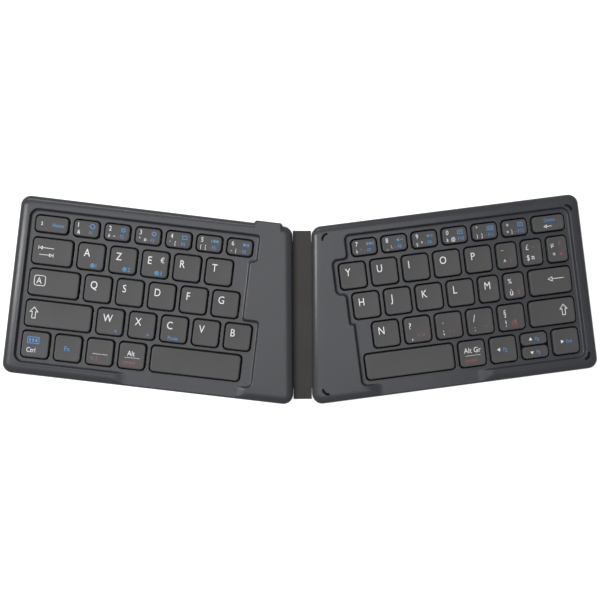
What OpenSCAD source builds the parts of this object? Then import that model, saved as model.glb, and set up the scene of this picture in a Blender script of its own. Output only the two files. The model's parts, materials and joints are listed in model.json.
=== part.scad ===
// Folding keyboard: two half cases joined by a soft strap with two fold lines.
// X runs to the right along the desk, Y away from the user, Z up from the desk.
// Each half is drawn in its own frame: X outward along the key rows, Y across them.

/* [Half cases] */
// Angle by which the key rows of each half rise outward, in degrees
row_tilt = 7.1; // [4:0.1:10]
// Thickness of a half, from its underside to its rim
case_h = 6.5; // [6.2:0.1:8]
// Radius of the corners in plan
corner_r = 5; // [4:0.1:7]
// Width of the rounded shoulder round the top edge
shoulder_w = 3; // [1.5:0.1:3.5]
// Height of that rounded shoulder
shoulder_h = 2.2; // [1:0.1:3]
// Thickness of the side walls
wall_t = 1.6; // [1.2:0.1:1.8]
// Thickness of the top wall
roof_t = 1.2; // [1:0.1:1.6]
// Thickness of the bottom wall
floor_t = 1.0; // [0.8:0.1:1.4]
// Width of the chamfer round the underside
base_chamfer = 1.2; // [0.6:0.1:1.5]

/* [Key well] */
// Width of the raised rim at the outer side
side_rim_w = 5.9; // [5:0.1:7]
// Width of the raised rim at the front
front_rim_w = 6.4; // [5.5:0.1:6.5]
// Width of the raised rim at the rear
rear_rim_w = 6.4; // [5.8:0.1:7]
// Depth of the well below the rim
well_depth = 1.7; // [1.4:0.1:2]
// Thickness of the deck between the keys
deck_t = 1.0; // [0.8:0.1:1.2]
// Bare deck between the well's wall and the nearest key
well_margin = 2.6; // [2:0.1:3]
// Bare deck between the well's front wall and the front row
front_margin = 2.3; // [2:0.1:2.8]
// Deck kept beyond a row that reaches further in than the next one
step_margin = 2.0; // [1.6:0.1:2.3]
// Radius of the well's outer corners
well_corner_r = 4; // [2.5:0.1:4.5]
// Radius of the stepped corners on the left well's inner side
left_step_r = 1.6; // [0.8:0.1:1.8]
// Radius of the stepped corners on the right well's inner side
right_step_r = 2.4; // [1.2:0.1:2.6]
// Length of the low front apron, from the space bar's inner end
apron_l = 58; // [50:0.5:66]
// Length of the ramp at each end of the apron
apron_ramp = 5; // [3:0.1:6]

/* [Keys] */
// Width of a letter key
key_w = 13.65; // [13:0.05:13.9]
// Depth of a key
key_d = 13.4; // [13:0.05:13.6]
// Deck between two keys of one row
key_gap = 2.35; // [2.1:0.05:2.5]
// Deck between two rows
row_gap = 2.2; // [2:0.05:2.4]
// Width of a narrow symbol key
narrow_key_w = 10.6; // [10:0.1:11]
// Width of a number key
number_key_w = 13; // [12.5:0.1:13.2]
// Depth of a number key
number_key_d = 8.5; // [8:0.1:9]
// Deck between the number row and the letters
number_row_gap = 2.6; // [2.3:0.1:3]
// Width of the corner keys at the outer end of each number row
corner_key_w = 16.7; // [15.5:0.1:17.5]
// Width of the tabulator key
tabulator_w = 20.2; // [19:0.1:21]
// Width of the capitals lock key
caps_w = 25.3; // [24:0.1:26]
// Width of the left shift key
left_shift_w = 33.3; // [32:0.1:34]
// Width of the right shift key
right_shift_w = 23.6; // [22.5:0.1:24.5]
// Width of the enter key
enter_w = 21.7; // [20.5:0.1:22.5]
// Width of the control key
control_w = 14; // [13.5:0.1:14.5]
// Width of each space bar
space_w = 45.4; // [43:0.1:46]
// Clear gap between a key cap and the deck round it
cap_clear = 0.5; // [0.3:0.05:0.6]
// Radius of the key corners
key_corner_r = 2; // [1.2:0.1:2.4]
// Height of a key cap
cap_h = 2.7; // [2.6:0.05:2.8]
// Thickness of a cap's top
cap_top_t = 1.0; // [0.8:0.1:1.1]
// Thickness of a cap's sides
cap_wall_t = 0.8; // [0.6:0.1:1]
// Travel of a key, from its top at rest down to the deck
key_travel = 1.5; // [1.3:0.1:1.6]

/* [Inside] */
// Thickness of the steel key plate
plate_t = 0.4; // [0.3:0.05:0.45]
// Thickness of the contact membrane
membrane_t = 0.2; // [0.15:0.05:0.25]
// Width of a scissor arm
arm_w = 0.7; // [0.6:0.05:0.8]
// Thickness of a scissor arm
arm_t = 0.6; // [0.5:0.05:0.7]
// Foot radius of a rubber dome
dome_r = 2; // [1.6:0.1:2.1]
// Diameter of a screw's shank
screw_d = 1.6; // [1.4:0.1:1.8]
// Diameter of a screw's head
screw_head_d = 2.8; // [2.6:0.1:3]
// Diameter of the posts that the screws hold
post_d = 3.4; // [3.2:0.1:3.6]
// Length of a magnet
magnet_l = 10; // [8:0.5:14]
// Height of a magnet
magnet_h = 2; // [1.5:0.1:2]
// Width of the battery
battery_w = 11; // [9:0.1:11.5]
// Length of the battery
battery_l = 38; // [30:0.5:38]
// Room between the strap's flap and the battery
battery_gap = 1.03; // [0.4:0.01:1.6]
// Thickness of the battery
battery_t = 3.4; // [3:0.1:3.6]
// Width of the main board
board_w = 9; // [8.4:0.1:9.2]
// Length of the main board in front of the charging port
board_l = 36; // [30:0.5:38]
// Width of the charging port
port_w = 9; // [8.6:0.1:9.2]
// Height of the charging port
port_h = 3.2; // [3:0.05:3.3]
// Depth of the charging port
port_d = 6.4; // [5.6:0.1:6.5]
// Thickness of the port's metal shell
port_shell_t = 0.3; // [0.2:0.05:0.35]

/* [Strap and feet] */
// Thickness of the strap
strap_t = 1.2; // [1:0.1:1.4]
// Gap left between the two rims when folded shut
closed_gap = 0.4; // [0.4:0.1:1]
// Gap between a fold line and the half case beside it
fold_clear = 0.3; // [0.2:0.05:0.5]
// Length of the strap's flap that is held inside each half
flap_w = 5; // [4:0.1:5.5]
// Distance from the case's rear inner corner to the strap's rear end
strap_rear_inset = 1.6; // [1:0.1:3]
// Distance from the case's front inner corner to the strap's front end
strap_front_inset = 2.9; // [2:0.1:4]
// Length by which the flaps are shorter than the strap at each end
flap_inset = 5.5; // [5:0.1:10]
// Width of the ribbon cable
ribbon_w = 10; // [8:0.1:10.5]
// Distance from the fold's middle, along Y, to the ribbon cable's middle
ribbon_y = 14; // [13:0.1:15]
// Thickness of the ribbon cable
ribbon_t = 0.15; // [0.1:0.05:0.2]
// Height by which the feet stand out below the case
foot_h = 0.6; // [0.4:0.1:1]
// Length of a foot
foot_l = 22; // [14:1:30]
// Width of a foot
foot_w = 5; // [4:0.1:6]
// Distance from the outer side to the outer feet's middle
foot_outer_in = 24; // [20:1:34]
// Distance from the fold centre to the inner feet's middle
foot_inner_x = 38; // [34:1:48]
// Distance from the front and rear sides to the feet's middle
foot_row_in = 10; // [9:0.1:14]
// Depth of the pocket that a foot is glued into
foot_pocket = 0.3; // [0.2:0.05:0.4]
// Height by which a corner bumper stands above the rim
bumper_h = 0.3; // [0.2:0.05:0.35]
// Width of a corner bumper
bumper_w = 0.8; // [0.6:0.05:1]
// Radius of a corner bumper's arc
bumper_r = 3; // [2.4:0.1:3.3]
// Height by which the port housing stands out behind the left half
tab_out = 1.2; // [0.8:0.1:2]
// Width of the port housing
tab_w = 12.6; // [12:0.1:14]

/* [Hidden] */
$fn = 48;
// Overlap that joins two solids of one piece
eps = 0.01;
// Gap of a fit, and gap between pieces that only pass each other
fit = 0.05;
clear = 0.3;
// Length by which a cut runs past the face that it opens
past = 1;
// Wall below the deck round the well, and lip that centres the two cases
well_wall = 1.0;
lip_t = 0.8;
lip_h = 1.0;
lip_gap = 4;
least_r = 0.6;

// Heights above the desk
fold_z = foot_h + floor_t + strap_t;
rim_z = foot_h + case_h;
roof_z = rim_z - roof_t;
deck_z = rim_z - well_depth;
floor_z = foot_h + floor_t;
stack_z = floor_z + plate_t + membrane_t;
cap_z = deck_z + key_travel;
cap_under_z = cap_z - cap_top_t;

// Depth of a half: its rims, margins and five rows
keys_depth = 4 * key_d + 3 * row_gap + number_row_gap + number_key_d;
half_depth = front_rim_w + front_margin + keys_depth + well_margin + rear_rim_w;

// Plan of the halves
fold_w = 2 * (rim_z - fold_z) + closed_gap;
edge_x = fold_w / 2 + fold_clear;
flap_x = fold_w / 2 + flap_w;
rear_y = half_depth / 2;
well_front = -rear_y + front_rim_w;
function along(x, y) = (x + y * sin(row_tilt)) / cos(row_tilt);
function to_desk(p) = [
    p[0] * cos(row_tilt) - p[1] * sin(row_tilt),
    p[0] * sin(row_tilt) + p[1] * cos(row_tilt)
];
// Rows of keys, front to rear, with widths from the outer side inward
front_key = well_front + front_margin;
LETTER = [for (i = [0:4]) key_w];
LEFT_ROWS = [
    [control_w, key_w, key_w, key_w, space_w],
    concat([left_shift_w], LETTER),
    concat([caps_w], LETTER),
    concat([tabulator_w], LETTER),
    concat([corner_key_w], [for (i = [0:5]) number_key_w])
];
RIGHT_ROWS = [
    [key_w, key_w, key_w, key_w, space_w],
    concat([right_shift_w], LETTER),
    concat([enter_w, narrow_key_w, narrow_key_w], [for (i = [0:3]) key_w]),
    concat([narrow_key_w, narrow_key_w, narrow_key_w], LETTER),
    concat([corner_key_w], [for (i = [0:5]) number_key_w])
];
function rows(side) = side == "left" ? LEFT_ROWS : RIGHT_ROWS;
function total(list, count) = count == 0 ? 0 : list[count - 1] + total(list, count - 1);
function row_total(row) = let (n = len(row)) total(row, n) + (n - 1) * key_gap;
function row_d(row) = row == 4 ? number_key_d : key_d;
function row_front(row) = front_key + row * (key_d + row_gap) + (row == 4 ? number_row_gap - row_gap : 0);
function row_rear(row) = row_front(row) + row_d(row);

// Port at the rear of the left half, and the board's rear end in front of it
port_recess = 0.2;
port_face_y = rear_y + tab_out - port_recess;
board_rear = port_face_y - port_d - fit;

// Battery beside the front rows of the right half and board beside the rear rows of the left
// one, and the reach that leaves room for both
BATTERY_ROWS = [0:2];
BOARD_ROWS = [2:4];
battery_front_gap = 4;
battery_front = well_front + battery_front_gap;
battery_rear = battery_front + battery_l;
battery_inner = along(flap_x + battery_gap, battery_rear);
battery_outer = battery_inner + battery_w;
widest_row = max([for (row = BATTERY_ROWS) row_total(RIGHT_ROWS[row])]);
widest_board_row = max([for (row = BOARD_ROWS) row_total(LEFT_ROWS[row])]);
key_by_battery = battery_outer + clear + well_wall + well_margin + widest_row;
key_by_board = along(flap_x + clear, board_rear) + board_w + clear + well_margin + widest_board_row;
first_key = max(key_by_battery, key_by_board);
outer_reach = first_key + well_margin + side_rim_w;
inner_arc_y = -rear_y + corner_r;
front_reach = to_desk([along(edge_x + corner_r, inner_arc_y), inner_arc_y])[1] - corner_r;
rear_reach = to_desk([outer_reach - corner_r, rear_y - corner_r])[1] + corner_r;
centre_y = (front_reach + rear_reach) / 2;
rear_corner = to_desk([along(edge_x, rear_y), rear_y])[1];
front_corner = to_desk([along(edge_x, -rear_y), -rear_y])[1];

// A cell is [inner x, front y, outer x, rear y] of one key, to the middle of its gap
function cell(side, row, i) = let (outer = first_key - total(rows(side)[row], i) - i * key_gap)
    [outer - rows(side)[row][i], row_front(row), outer, row_rear(row)];
function grown(box, by) = [box[0] - by, box[1] - by, box[2] + by, box[3] + by];
// The arrow pair shares one window, split by a thin gap
PAIR = cell("right", 0, 1);
PAIR_MID = (PAIR[1] + PAIR[3]) / 2;
UP_CELL = [PAIR[0], PAIR_MID, PAIR[2], PAIR[3]];
DOWN_CELL = [PAIR[0], PAIR[1], PAIR[2], PAIR_MID];
function row_cells(side, row) = [for (i = [0:len(rows(side)[row]) - 1]) cell(side, row, i)];
function windows(side) = [for (row = [0:4]) for (c = row_cells(side, row)) c];
function caps(side) = [for (c = windows(side)) if (side == "left" || c != PAIR) c];
function all_caps(side) = side == "left" ? caps(side) : concat(caps(side), [UP_CELL, DOWN_CELL]);

// Outlines in plan, with round corners
arc_steps = 7;
function unit(v) = v / norm(v);
function turned(v, angle) = [v[0] * cos(angle) - v[1] * sin(angle), v[0] * sin(angle) + v[1] * cos(angle)];
function corner_arc(before, at, after, r) =
    let (
        a = unit(before - at),
        b = unit(after - at),
        half = acos(a * b) / 2,
        centre = at + unit(a + b) * r / sin(half),
        start = at + a * r / tan(half) - centre,
        sweep = (cross(at - before, after - at) > 0 ? 1 : -1) * (180 - 2 * half)
    )
    [for (i = [0:arc_steps]) centre + turned(start, sweep * i / arc_steps)];
function rounded(corners) = let (n = len(corners)) [
    for (i = [0:n - 1])
        let (c = corners[i], b = corners[(i + n - 1) % n], a = corners[(i + 1) % n])
            for (p = corner_arc([b[0], b[1]], [c[0], c[1]], [a[0], a[1]], c[2])) p
];
function panel(inset) =
    let (r = max(corner_r - inset, least_r), d = rear_y - inset, x = edge_x + inset)
    rounded([
        [along(x, -d), -d, r],
        [outer_reach - inset, -d, r],
        [outer_reach - inset, d, r],
        [along(x, d), d, r]
    ]);

// The well's inner side steps with the rows: groups of rows, front to rear
GROUPS_LEFT = [[0, 1], [2, 3], [4, 4]];
GROUPS_RIGHT = [[0, 1], [2, 2], [3, 3], [4, 4]];
function groups(side) = side == "left" ? GROUPS_LEFT : GROUPS_RIGHT;
function row_end(side, row) = cell(side, row, len(rows(side)[row]) - 1)[0];
function group_end(side, g) = min([for (row = [g[0]:g[1]]) row_end(side, row)]) - well_margin;
function step_y(side, low, high) = group_end(side, low) < group_end(side, high)
    ? row_rear(low[1]) + step_margin
    : row_front(high[0]) - step_margin;
well_outer = outer_reach - side_rim_w;
well_rear = row_rear(4) + well_margin;
apron_start = row_end("left", 0);
apron_end = apron_start + apron_l;
function inner_r(side) = side == "left" ? left_step_r : right_step_r;
// A corner's radius, at most half the step that it rounds
function corner_limit(side, low, high) =
    min(inner_r(side), abs(group_end(side, low) - group_end(side, high)) / 2 - eps);
function well(side, inset) =
    let (g = groups(side), last = len(g) - 1, r = well_corner_r - inset)
    rounded(concat(
        [
            [group_end(side, g[0]) + inset, well_front + inset, inner_r(side)],
            [well_outer - inset, well_front + inset, r],
            [well_outer - inset, well_rear - inset, r],
            [group_end(side, g[last]) + inset, well_rear - inset, inner_r(side)]
        ],
        [
            for (i = [last:-1:1])
                let (
                    y = step_y(side, g[i - 1], g[i]),
                    rear_in = group_end(side, g[i]),
                    front_in = group_end(side, g[i - 1]),
                    shift = front_in < rear_in ? -inset : inset
                )
                    for (x = [rear_in, front_in]) [x + inset, y + shift, corner_limit(side, g[i - 1], g[i])]
        ]
    ));

module place(side) {
    translate([0, -centre_y, 0])
        mirror([side == "left" ? 1 : 0, 0, 0])
            rotate([0, 0, row_tilt]) children();
}

module place_strap() {
    translate([0, -centre_y, 0]) children();
}

module slab(points, low, high) {
    translate([0, 0, low]) linear_extrude(high - low) polygon(points);
}

module round_box(box, r, low, high) {
    w = box[2] - box[0];
    d = box[3] - box[1];
    translate([box[0], box[1], low]) linear_extrude(high - low) union() {
        translate([r, 0]) square([w - 2 * r, d]);
        translate([0, r]) square([w, d - 2 * r]);
        for (x = [r, w - r], y = [r, d - r]) translate([x, y]) circle(r);
    }
}

module box(corners, low, high) {
    translate([corners[0], corners[1], low])
        cube([corners[2] - corners[0], corners[3] - corners[1], high - low]);
}

// Screws: two at the outer corners, two mid rim, two beside the strap
post_gap = 0.2;
post_wall = 0.3;
screw_hole_clear = 0.1;
thread_clear = 0.01;
tip_gap = 0.8;
pilot_past = 0.2;
head_h = 0.8;
head_in = 0.1;
slot_w = 0.5;
post_in = wall_t + post_d / 2;
mid_post_rear = [outer_reach / 2, rear_y - post_in];
mid_post_front = [(outer_reach + apron_end + apron_ramp) / 2 - side_rim_w, -rear_y + post_in];
hinge_post_in = wall_t + post_d / 2 + clear;
function hinge_post(y) = let (d = y - sign(y) * hinge_post_in) [along(edge_x + hinge_post_in, d), d];
POSTS = [
    [outer_reach - post_in - clear, rear_y - post_in - clear],
    [outer_reach - post_in - clear, -rear_y + post_in + clear],
    mid_post_rear,
    mid_post_front,
    hinge_post(rear_y),
    hinge_post(-rear_y)
];
post_seat_z = fold_z - post_gap;
head_z = foot_h + head_in;
screw_tip_z = roof_z - tip_gap;

// Port housing behind the left half, beside the number row's inner end
port_shift = 0.8;
port_back_t = 1;
tab_slope = 2.4;
tab_root = 1.4;
board_side = min(group_end("left", GROUPS_LEFT[1]), group_end("left", GROUPS_LEFT[2]));
port_x = board_side - port_w / 2 + port_shift;
port_z = stack_z;
tab_root_y = rear_y - tab_root;
TAB = [
    [port_x - tab_w / 2 - tab_slope, tab_root_y],
    [port_x + tab_w / 2 + tab_slope, tab_root_y],
    [port_x + tab_w / 2, rear_y + tab_out],
    [port_x - tab_w / 2, rear_y + tab_out]
];
PORT_BOX = [port_x - port_w / 2, port_face_y - port_d, port_x + port_w / 2, port_face_y];

module port_slot() {
    b = grown(PORT_BOX, fit);
    r = (port_h + 2 * fit) / 2;
    translate([0, b[1], port_z + port_h / 2]) rotate([-90, 0, 0])
        linear_extrude(port_d + port_recess + past) union() {
            translate([b[0] + r, -r]) square([b[2] - b[0] - 2 * r, 2 * r]);
            translate([b[0] + r, 0]) circle(r);
            translate([b[2] - r, 0]) circle(r);
        }
}

// Crescent bumpers near the corners, each arc bent round its corner
bumper_edge = 4.3;
bumper_outer_edge = 4.1;
bumper_sweep = 80;
bumper_pocket = 0.5;
bumper_y = rear_y - bumper_r - bumper_edge;
bumper_outer_x = outer_reach - bumper_r - bumper_outer_edge;
function bumper_inner_x(y) = along(edge_x + bumper_r + bumper_edge, y);
// Centre of each arc and the angle at which it starts
BUMPERS = [
    [bumper_outer_x, bumper_y, 5],
    [bumper_outer_x, -bumper_y, -85],
    [bumper_inner_x(-bumper_y), -bumper_y, 182],
    [bumper_inner_x(bumper_y), bumper_y, 98]
];

module crescents(grow, low, high) {
    for (b = BUMPERS) translate([b[0], b[1], low]) rotate([0, 0, b[2]])
        rotate_extrude(angle = bumper_sweep)
            translate([bumper_r - bumper_w / 2 - grow, 0]) square([bumper_w + 2 * grow, high - low]);
}

module shell(low) {
    layers = 5;
    hull() {
        slab(panel(0), low, rim_z - shoulder_h);
        for (i = [1:layers]) {
            t = 90 * i / layers;
            z = rim_z - shoulder_h * (1 - sin(t));
            slab(panel(shoulder_w * (1 - cos(t))), z - eps, z);
        }
    }
}

module apron_cut() {
    ramp_top = rim_z + past;
    run = apron_ramp * (ramp_top - deck_z) / well_depth;
    into_well = right_step_r;
    translate([0, well_front + into_well, 0]) rotate([90, 0, 0])
        linear_extrude(front_rim_w + into_well + past) polygon([
            [apron_start + apron_ramp, deck_z],
            [apron_end, deck_z],
            [apron_end + run, ramp_top],
            [apron_start + apron_ramp - run, ramp_top]
        ]);
}

// Deck, well wall, clamping rib and apron, before the well and windows are cut
module deck(side) {
    slab(well(side, -well_wall), deck_z - deck_t, roof_z + eps);
    box(
        [apron_start - well_wall, -rear_y + wall_t / 2, apron_end + 2 * apron_ramp, well_front + well_wall],
        deck_z - deck_t, roof_z + eps
    );
    difference() {
        slab(well(side, 0), stack_z, deck_z - eps);
        slab(well(side, well_wall), stack_z - past, deck_z);
    }
}

module top_case(side) {
    difference() {
        union() {
            difference() {
                shell(fold_z);
                slab(panel(wall_t), fold_z - past, roof_z);
            }
            intersection() {
                deck(side);
                slab(panel(wall_t / 2), floor_z, rim_z);
            }
            for (p = POSTS) translate([p[0], p[1], post_seat_z])
                cylinder(h = roof_z - post_seat_z + eps, d = post_d);
            if (side == "left") slab(TAB, fold_z, rim_z);
        }
        slab(well(side, 0), deck_z, rim_z + past);
        apron_cut();
        for (c = windows(side))
            round_box(grown(c, cap_clear / 2), key_corner_r + cap_clear / 2, deck_z - deck_t - past, rim_z);
        for (p = POSTS) translate([p[0], p[1], post_seat_z - past])
            cylinder(h = screw_tip_z + pilot_past - post_seat_z + past, d = screw_d + 2 * thread_clear);
        if (side == "left") port_slot();
        if (side == "right") crescents(fit, rim_z - bumper_pocket, rim_z + past);
    }
}

STRAP_REAR = rear_corner - strap_rear_inset;
STRAP_FRONT = front_corner + strap_front_inset;
FLAP_REAR = STRAP_REAR - flap_inset;
FLAP_FRONT = STRAP_FRONT + flap_inset;

module desk_box(x_low, x_high, y_low, y_high, low, high) {
    translate([x_low, y_low, low]) cube([x_high - x_low, y_high - y_low, high - low]);
}

module flap_slot() {
    rotate([0, 0, -row_tilt])
        desk_box(0, flap_x + fit, FLAP_FRONT - fit, FLAP_REAR + fit, floor_z, rim_z);
}

FOOT_AT = [
    for (x = [foot_inner_x, outer_reach - foot_outer_in], y = [-1, 1]) [x, y * (rear_y - foot_row_in)]
];

module feet_at(low, high, grow) {
    for (p = FOOT_AT)
        round_box(
            grown([p[0] - foot_l / 2, p[1] - foot_w / 2, p[0] + foot_l / 2, p[1] + foot_w / 2], grow),
            foot_w / 2 + grow - eps, low, high
        );
}

module bottom_case(side) {
    difference() {
        union() {
            difference() {
                hull() {
                    slab(panel(base_chamfer), foot_h, foot_h + eps);
                    slab(panel(0), foot_h + base_chamfer, fold_z);
                }
                slab(panel(wall_t), floor_z, fold_z + past);
            }
            difference() {
                slab(panel(wall_t + fit), floor_z - eps, fold_z + lip_h);
                slab(panel(wall_t + fit + lip_t), floor_z - past, fold_z + lip_h + past);
                for (p = POSTS) translate([p[0], p[1], floor_z])
                    cylinder(h = case_h, d = post_d + 2 * clear);
                lip_break = [apron_start - lip_gap, apron_end + 2 * apron_ramp + lip_gap];
                box([lip_break[0], -rear_y, lip_break[1], well_front + well_wall], fold_z, rim_z);
            }
            if (side == "left") slab(TAB, foot_h + base_chamfer, fold_z);
            for (p = POSTS) translate([p[0], p[1], floor_z - eps])
                cylinder(h = post_seat_z - floor_z + eps, d = post_d + 2 * post_wall);
        }
        flap_slot();
        if (side == "left") port_slot();
        feet_at(0, foot_h + foot_pocket, fit);
        for (p = POSTS) translate([p[0], p[1], 0]) {
            cylinder(h = head_z + head_h, d = screw_head_d + 2 * fit);
            cylinder(h = case_h, d = screw_d + 2 * screw_hole_clear);
        }
    }
}

module left_top_case() {
    color([0.27, 0.28, 0.30]) place("left") top_case("left");
}

module right_top_case() {
    color([0.25, 0.26, 0.28]) place("right") top_case("right");
}

module left_bottom_case() {
    color([0.16, 0.16, 0.17]) place("left") bottom_case("left");
}

module right_bottom_case() {
    color([0.16, 0.16, 0.17]) place("right") bottom_case("right");
}

module key_plate(side) {
    color([0.34, 0.34, 0.35]) place(side) slab(well(side, clear), floor_z, floor_z + plate_t);
}

module left_key_plate() {
    key_plate("left");
}

module right_key_plate() {
    key_plate("right");
}

// Main board under the hinge-side roof of the left half, with the charging port on its rear end
board_outer = board_side - clear;
BOARD = [board_outer - board_w, board_rear - board_l, board_outer, board_rear];
BOARD_HEAD = [PORT_BOX[0] - fit, board_rear - eps, PORT_BOX[2] + fit, rear_y - wall_t - lip_t - 3 * fit];
// Two chips on the board: distance from its inner and rear sides, width, height
CHIPS = [[1.5, 4, 5, 1], [4, 12.5, 2.5, 0.8]];

module main_board() {
    color([0.06, 0.25, 0.14]) place("left") {
        box(BOARD, floor_z, stack_z);
        box(BOARD_HEAD, floor_z, stack_z);
        for (c = CHIPS)
            translate([BOARD[0] + c[0], BOARD[3] - c[1] - c[2], stack_z - eps]) cube([c[2], c[2], c[3]]);
    }
}

module port_profile(grow) {
    r = port_h / 2 + grow;
    union() {
        translate([PORT_BOX[0] + port_h / 2, -r]) square([port_w - port_h, 2 * r]);
        for (x = [PORT_BOX[0] + port_h / 2, PORT_BOX[2] - port_h / 2]) translate([x, 0]) circle(r);
    }
}

module port_at(y) {
    translate([0, y, port_z + port_h / 2]) rotate([-90, 0, 0]) children();
}

module charging_port() {
    tongue_t = 0.7;
    tongue_in = 0.8;
    tongue_w = port_w - port_h;
    color([0.72, 0.73, 0.75]) place("left") {
        difference() {
            port_at(PORT_BOX[1]) linear_extrude(port_d) port_profile(0);
            port_at(PORT_BOX[1] + port_back_t) linear_extrude(port_d) port_profile(-port_shell_t);
        }
        translate([port_x - tongue_w / 2, PORT_BOX[1] + port_back_t - eps, port_z + (port_h - tongue_t) / 2])
            cube([tongue_w, port_d - port_back_t - tongue_in + eps, tongue_t]);
    }
}

// The battery lies under the hinge-side roof of the right half
module battery() {
    color([0.75, 0.76, 0.78]) place("right")
        box([battery_inner, battery_front, battery_outer, battery_rear], floor_z, floor_z + battery_t);
}

// Ribbon cable through the strap, from the board to a tail of the right membrane
ribbon_lap = 2.5;
tail_lap = 2;
board_inner_x = to_desk([BOARD[0], (ribbon_y - ribbon_w / 2) / cos(row_tilt)])[0];
ribbon_left_x = board_inner_x + ribbon_lap;
tail_x = flap_x + clear;
ribbon_right_x = tail_x + ribbon_lap + past;

module ribbon_box(x_low, x_high, low, high, grow) {
    translate([x_low, ribbon_y - ribbon_w / 2 - grow, low])
        cube([x_high - x_low, ribbon_w + 2 * grow, high - low]);
}

module ribbon_cable() {
    color([0.72, 0.45, 0.15]) place_strap()
        ribbon_box(-ribbon_left_x, ribbon_right_x, stack_z, stack_z + ribbon_t, 0);
}

module ribbon_tunnel() {
    ribbon_box(-flap_x - past, flap_x + past, stack_z - fit, stack_z + ribbon_t + fit, fit);
}

module left_membrane() {
    color([0.12, 0.12, 0.13]) place("left") slab(well("left", clear), floor_z + plate_t, stack_z);
}

module right_membrane() {
    tail_end = along(group_end("right", GROUPS_RIGHT[0]), 0) + tail_lap;
    color([0.12, 0.12, 0.13]) {
        place("right") slab(well("right", clear), floor_z + plate_t, stack_z);
        place_strap() ribbon_box(tail_x, tail_end, floor_z + plate_t, stack_z, 0);
    }
}

// The strap lies under both halves and bends at two lines along its top face
module strap_piece(x_low, x_high, y_low, y_high) {
    color([0.20, 0.19, 0.18]) place_strap() difference() {
        desk_box(x_low, x_high, y_low, y_high, floor_z, fold_z);
        ribbon_tunnel();
    }
}

module hinge_strap() {
    strap_piece(-fold_w / 2, fold_w / 2, STRAP_FRONT, STRAP_REAR);
}

module hinge_strap_left_flap() {
    strap_piece(-flap_x, -fold_w / 2, FLAP_FRONT, FLAP_REAR);
}

module hinge_strap_right_flap() {
    strap_piece(fold_w / 2, flap_x, FLAP_FRONT, FLAP_REAR);
}

// Key caps: shells open below, each over a crossed pair of scissor arms and a rubber dome
module cap(c) {
    body = grown(c, -cap_clear / 2);
    hollow = grown(body, -cap_wall_t);
    r = key_corner_r - cap_clear / 2;
    difference() {
        round_box(body, r, cap_z - cap_h, cap_z);
        round_box(hollow, max(r - cap_wall_t, least_r / 2), cap_z - cap_h - past, cap_under_z);
    }
}

module keys(side, cells) {
    color([0.13, 0.13, 0.14]) place(side) for (c = cells) cap(c);
}

module arm_frame(w, l) {
    difference() {
        cube([w, l, arm_t], center = true);
        cube([w - 2 * arm_w, l - 2 * arm_w, 2 * arm_t], center = true);
    }
}

arm_frame_w = 9.4;
arm_nest = 0.3;
dome_taper = 0.6;
wide_key = 2.5;

module scissor(x, y, w, run) {
    rise = cap_under_z - stack_z - fit;
    angle = atan((rise - arm_t) / run);
    l = (rise - arm_t * cos(angle)) / sin(angle);
    dome = min(dome_r, run / 2 - arm_w - arm_t);
    translate([x, y, stack_z + rise / 2]) {
        rotate([angle, 0, 0]) arm_frame(w, l);
        rotate([-angle, 0, 0]) arm_frame(w - 2 * arm_w - 2 * arm_nest, l);
    }
    translate([x, y, stack_z]) cylinder(h = rise, r1 = dome, r2 = dome * dome_taper);
}

module mechanisms(side) {
    margin = cap_clear / 2 + cap_wall_t + clear;
    color([0.11, 0.11, 0.11]) place(side) for (c = all_caps(side)) {
        b = grown(c, -margin);
        w = b[2] - b[0];
        run = b[3] - b[1] - arm_t;
        spots = w > wide_key * arm_frame_w ? [b[0] + w / 4, b[2] - w / 4] : [(b[0] + b[2]) / 2];
        for (x = spots) scissor(x, (b[1] + b[3]) / 2, min(arm_frame_w, w), run);
    }
}

module left_key_mechanisms() {
    mechanisms("left");
}

module right_key_mechanisms() {
    mechanisms("right");
}

module feet(side) {
    color([0.07, 0.07, 0.07]) place(side) feet_at(0, foot_h + foot_pocket, 0);
}

module left_feet() {
    feet("left");
}

module right_feet() {
    feet("right");
}

module right_corner_bumpers() {
    color([0.04, 0.04, 0.04]) place("right") crescents(0, rim_z - bumper_pocket, rim_z + bumper_h);
}

module screws(side) {
    color([0.70, 0.70, 0.72]) place(side) for (p = POSTS) translate([p[0], p[1], 0]) difference() {
        union() {
            translate([0, 0, head_z]) cylinder(h = head_h, d = screw_head_d);
            translate([0, 0, head_z]) cylinder(h = screw_tip_z - head_z, d = screw_d);
        }
        translate([-screw_head_d, -slot_w / 2, 0]) cube([2 * screw_head_d, slot_w, head_z + head_h / 2]);
    }
}

module left_screws() {
    screws("left");
}

module right_screws() {
    screws("right");
}

// Magnets glued under the outer rim, in the room between the side wall and the well's wall
magnet_w = side_rim_w - wall_t - well_wall - 4 * fit;
magnet_y = 16;

module magnets(side) {
    x = outer_reach - wall_t - 2 * fit - magnet_w;
    color([0.66, 0.66, 0.68]) place(side) for (y = [-magnet_y, magnet_y])
        box([x, y - magnet_l / 2, x + magnet_w, y + magnet_l / 2], roof_z - magnet_h, roof_z);
}

module left_magnets() {
    magnets("left");
}

module right_magnets() {
    magnets("right");
}

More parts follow.
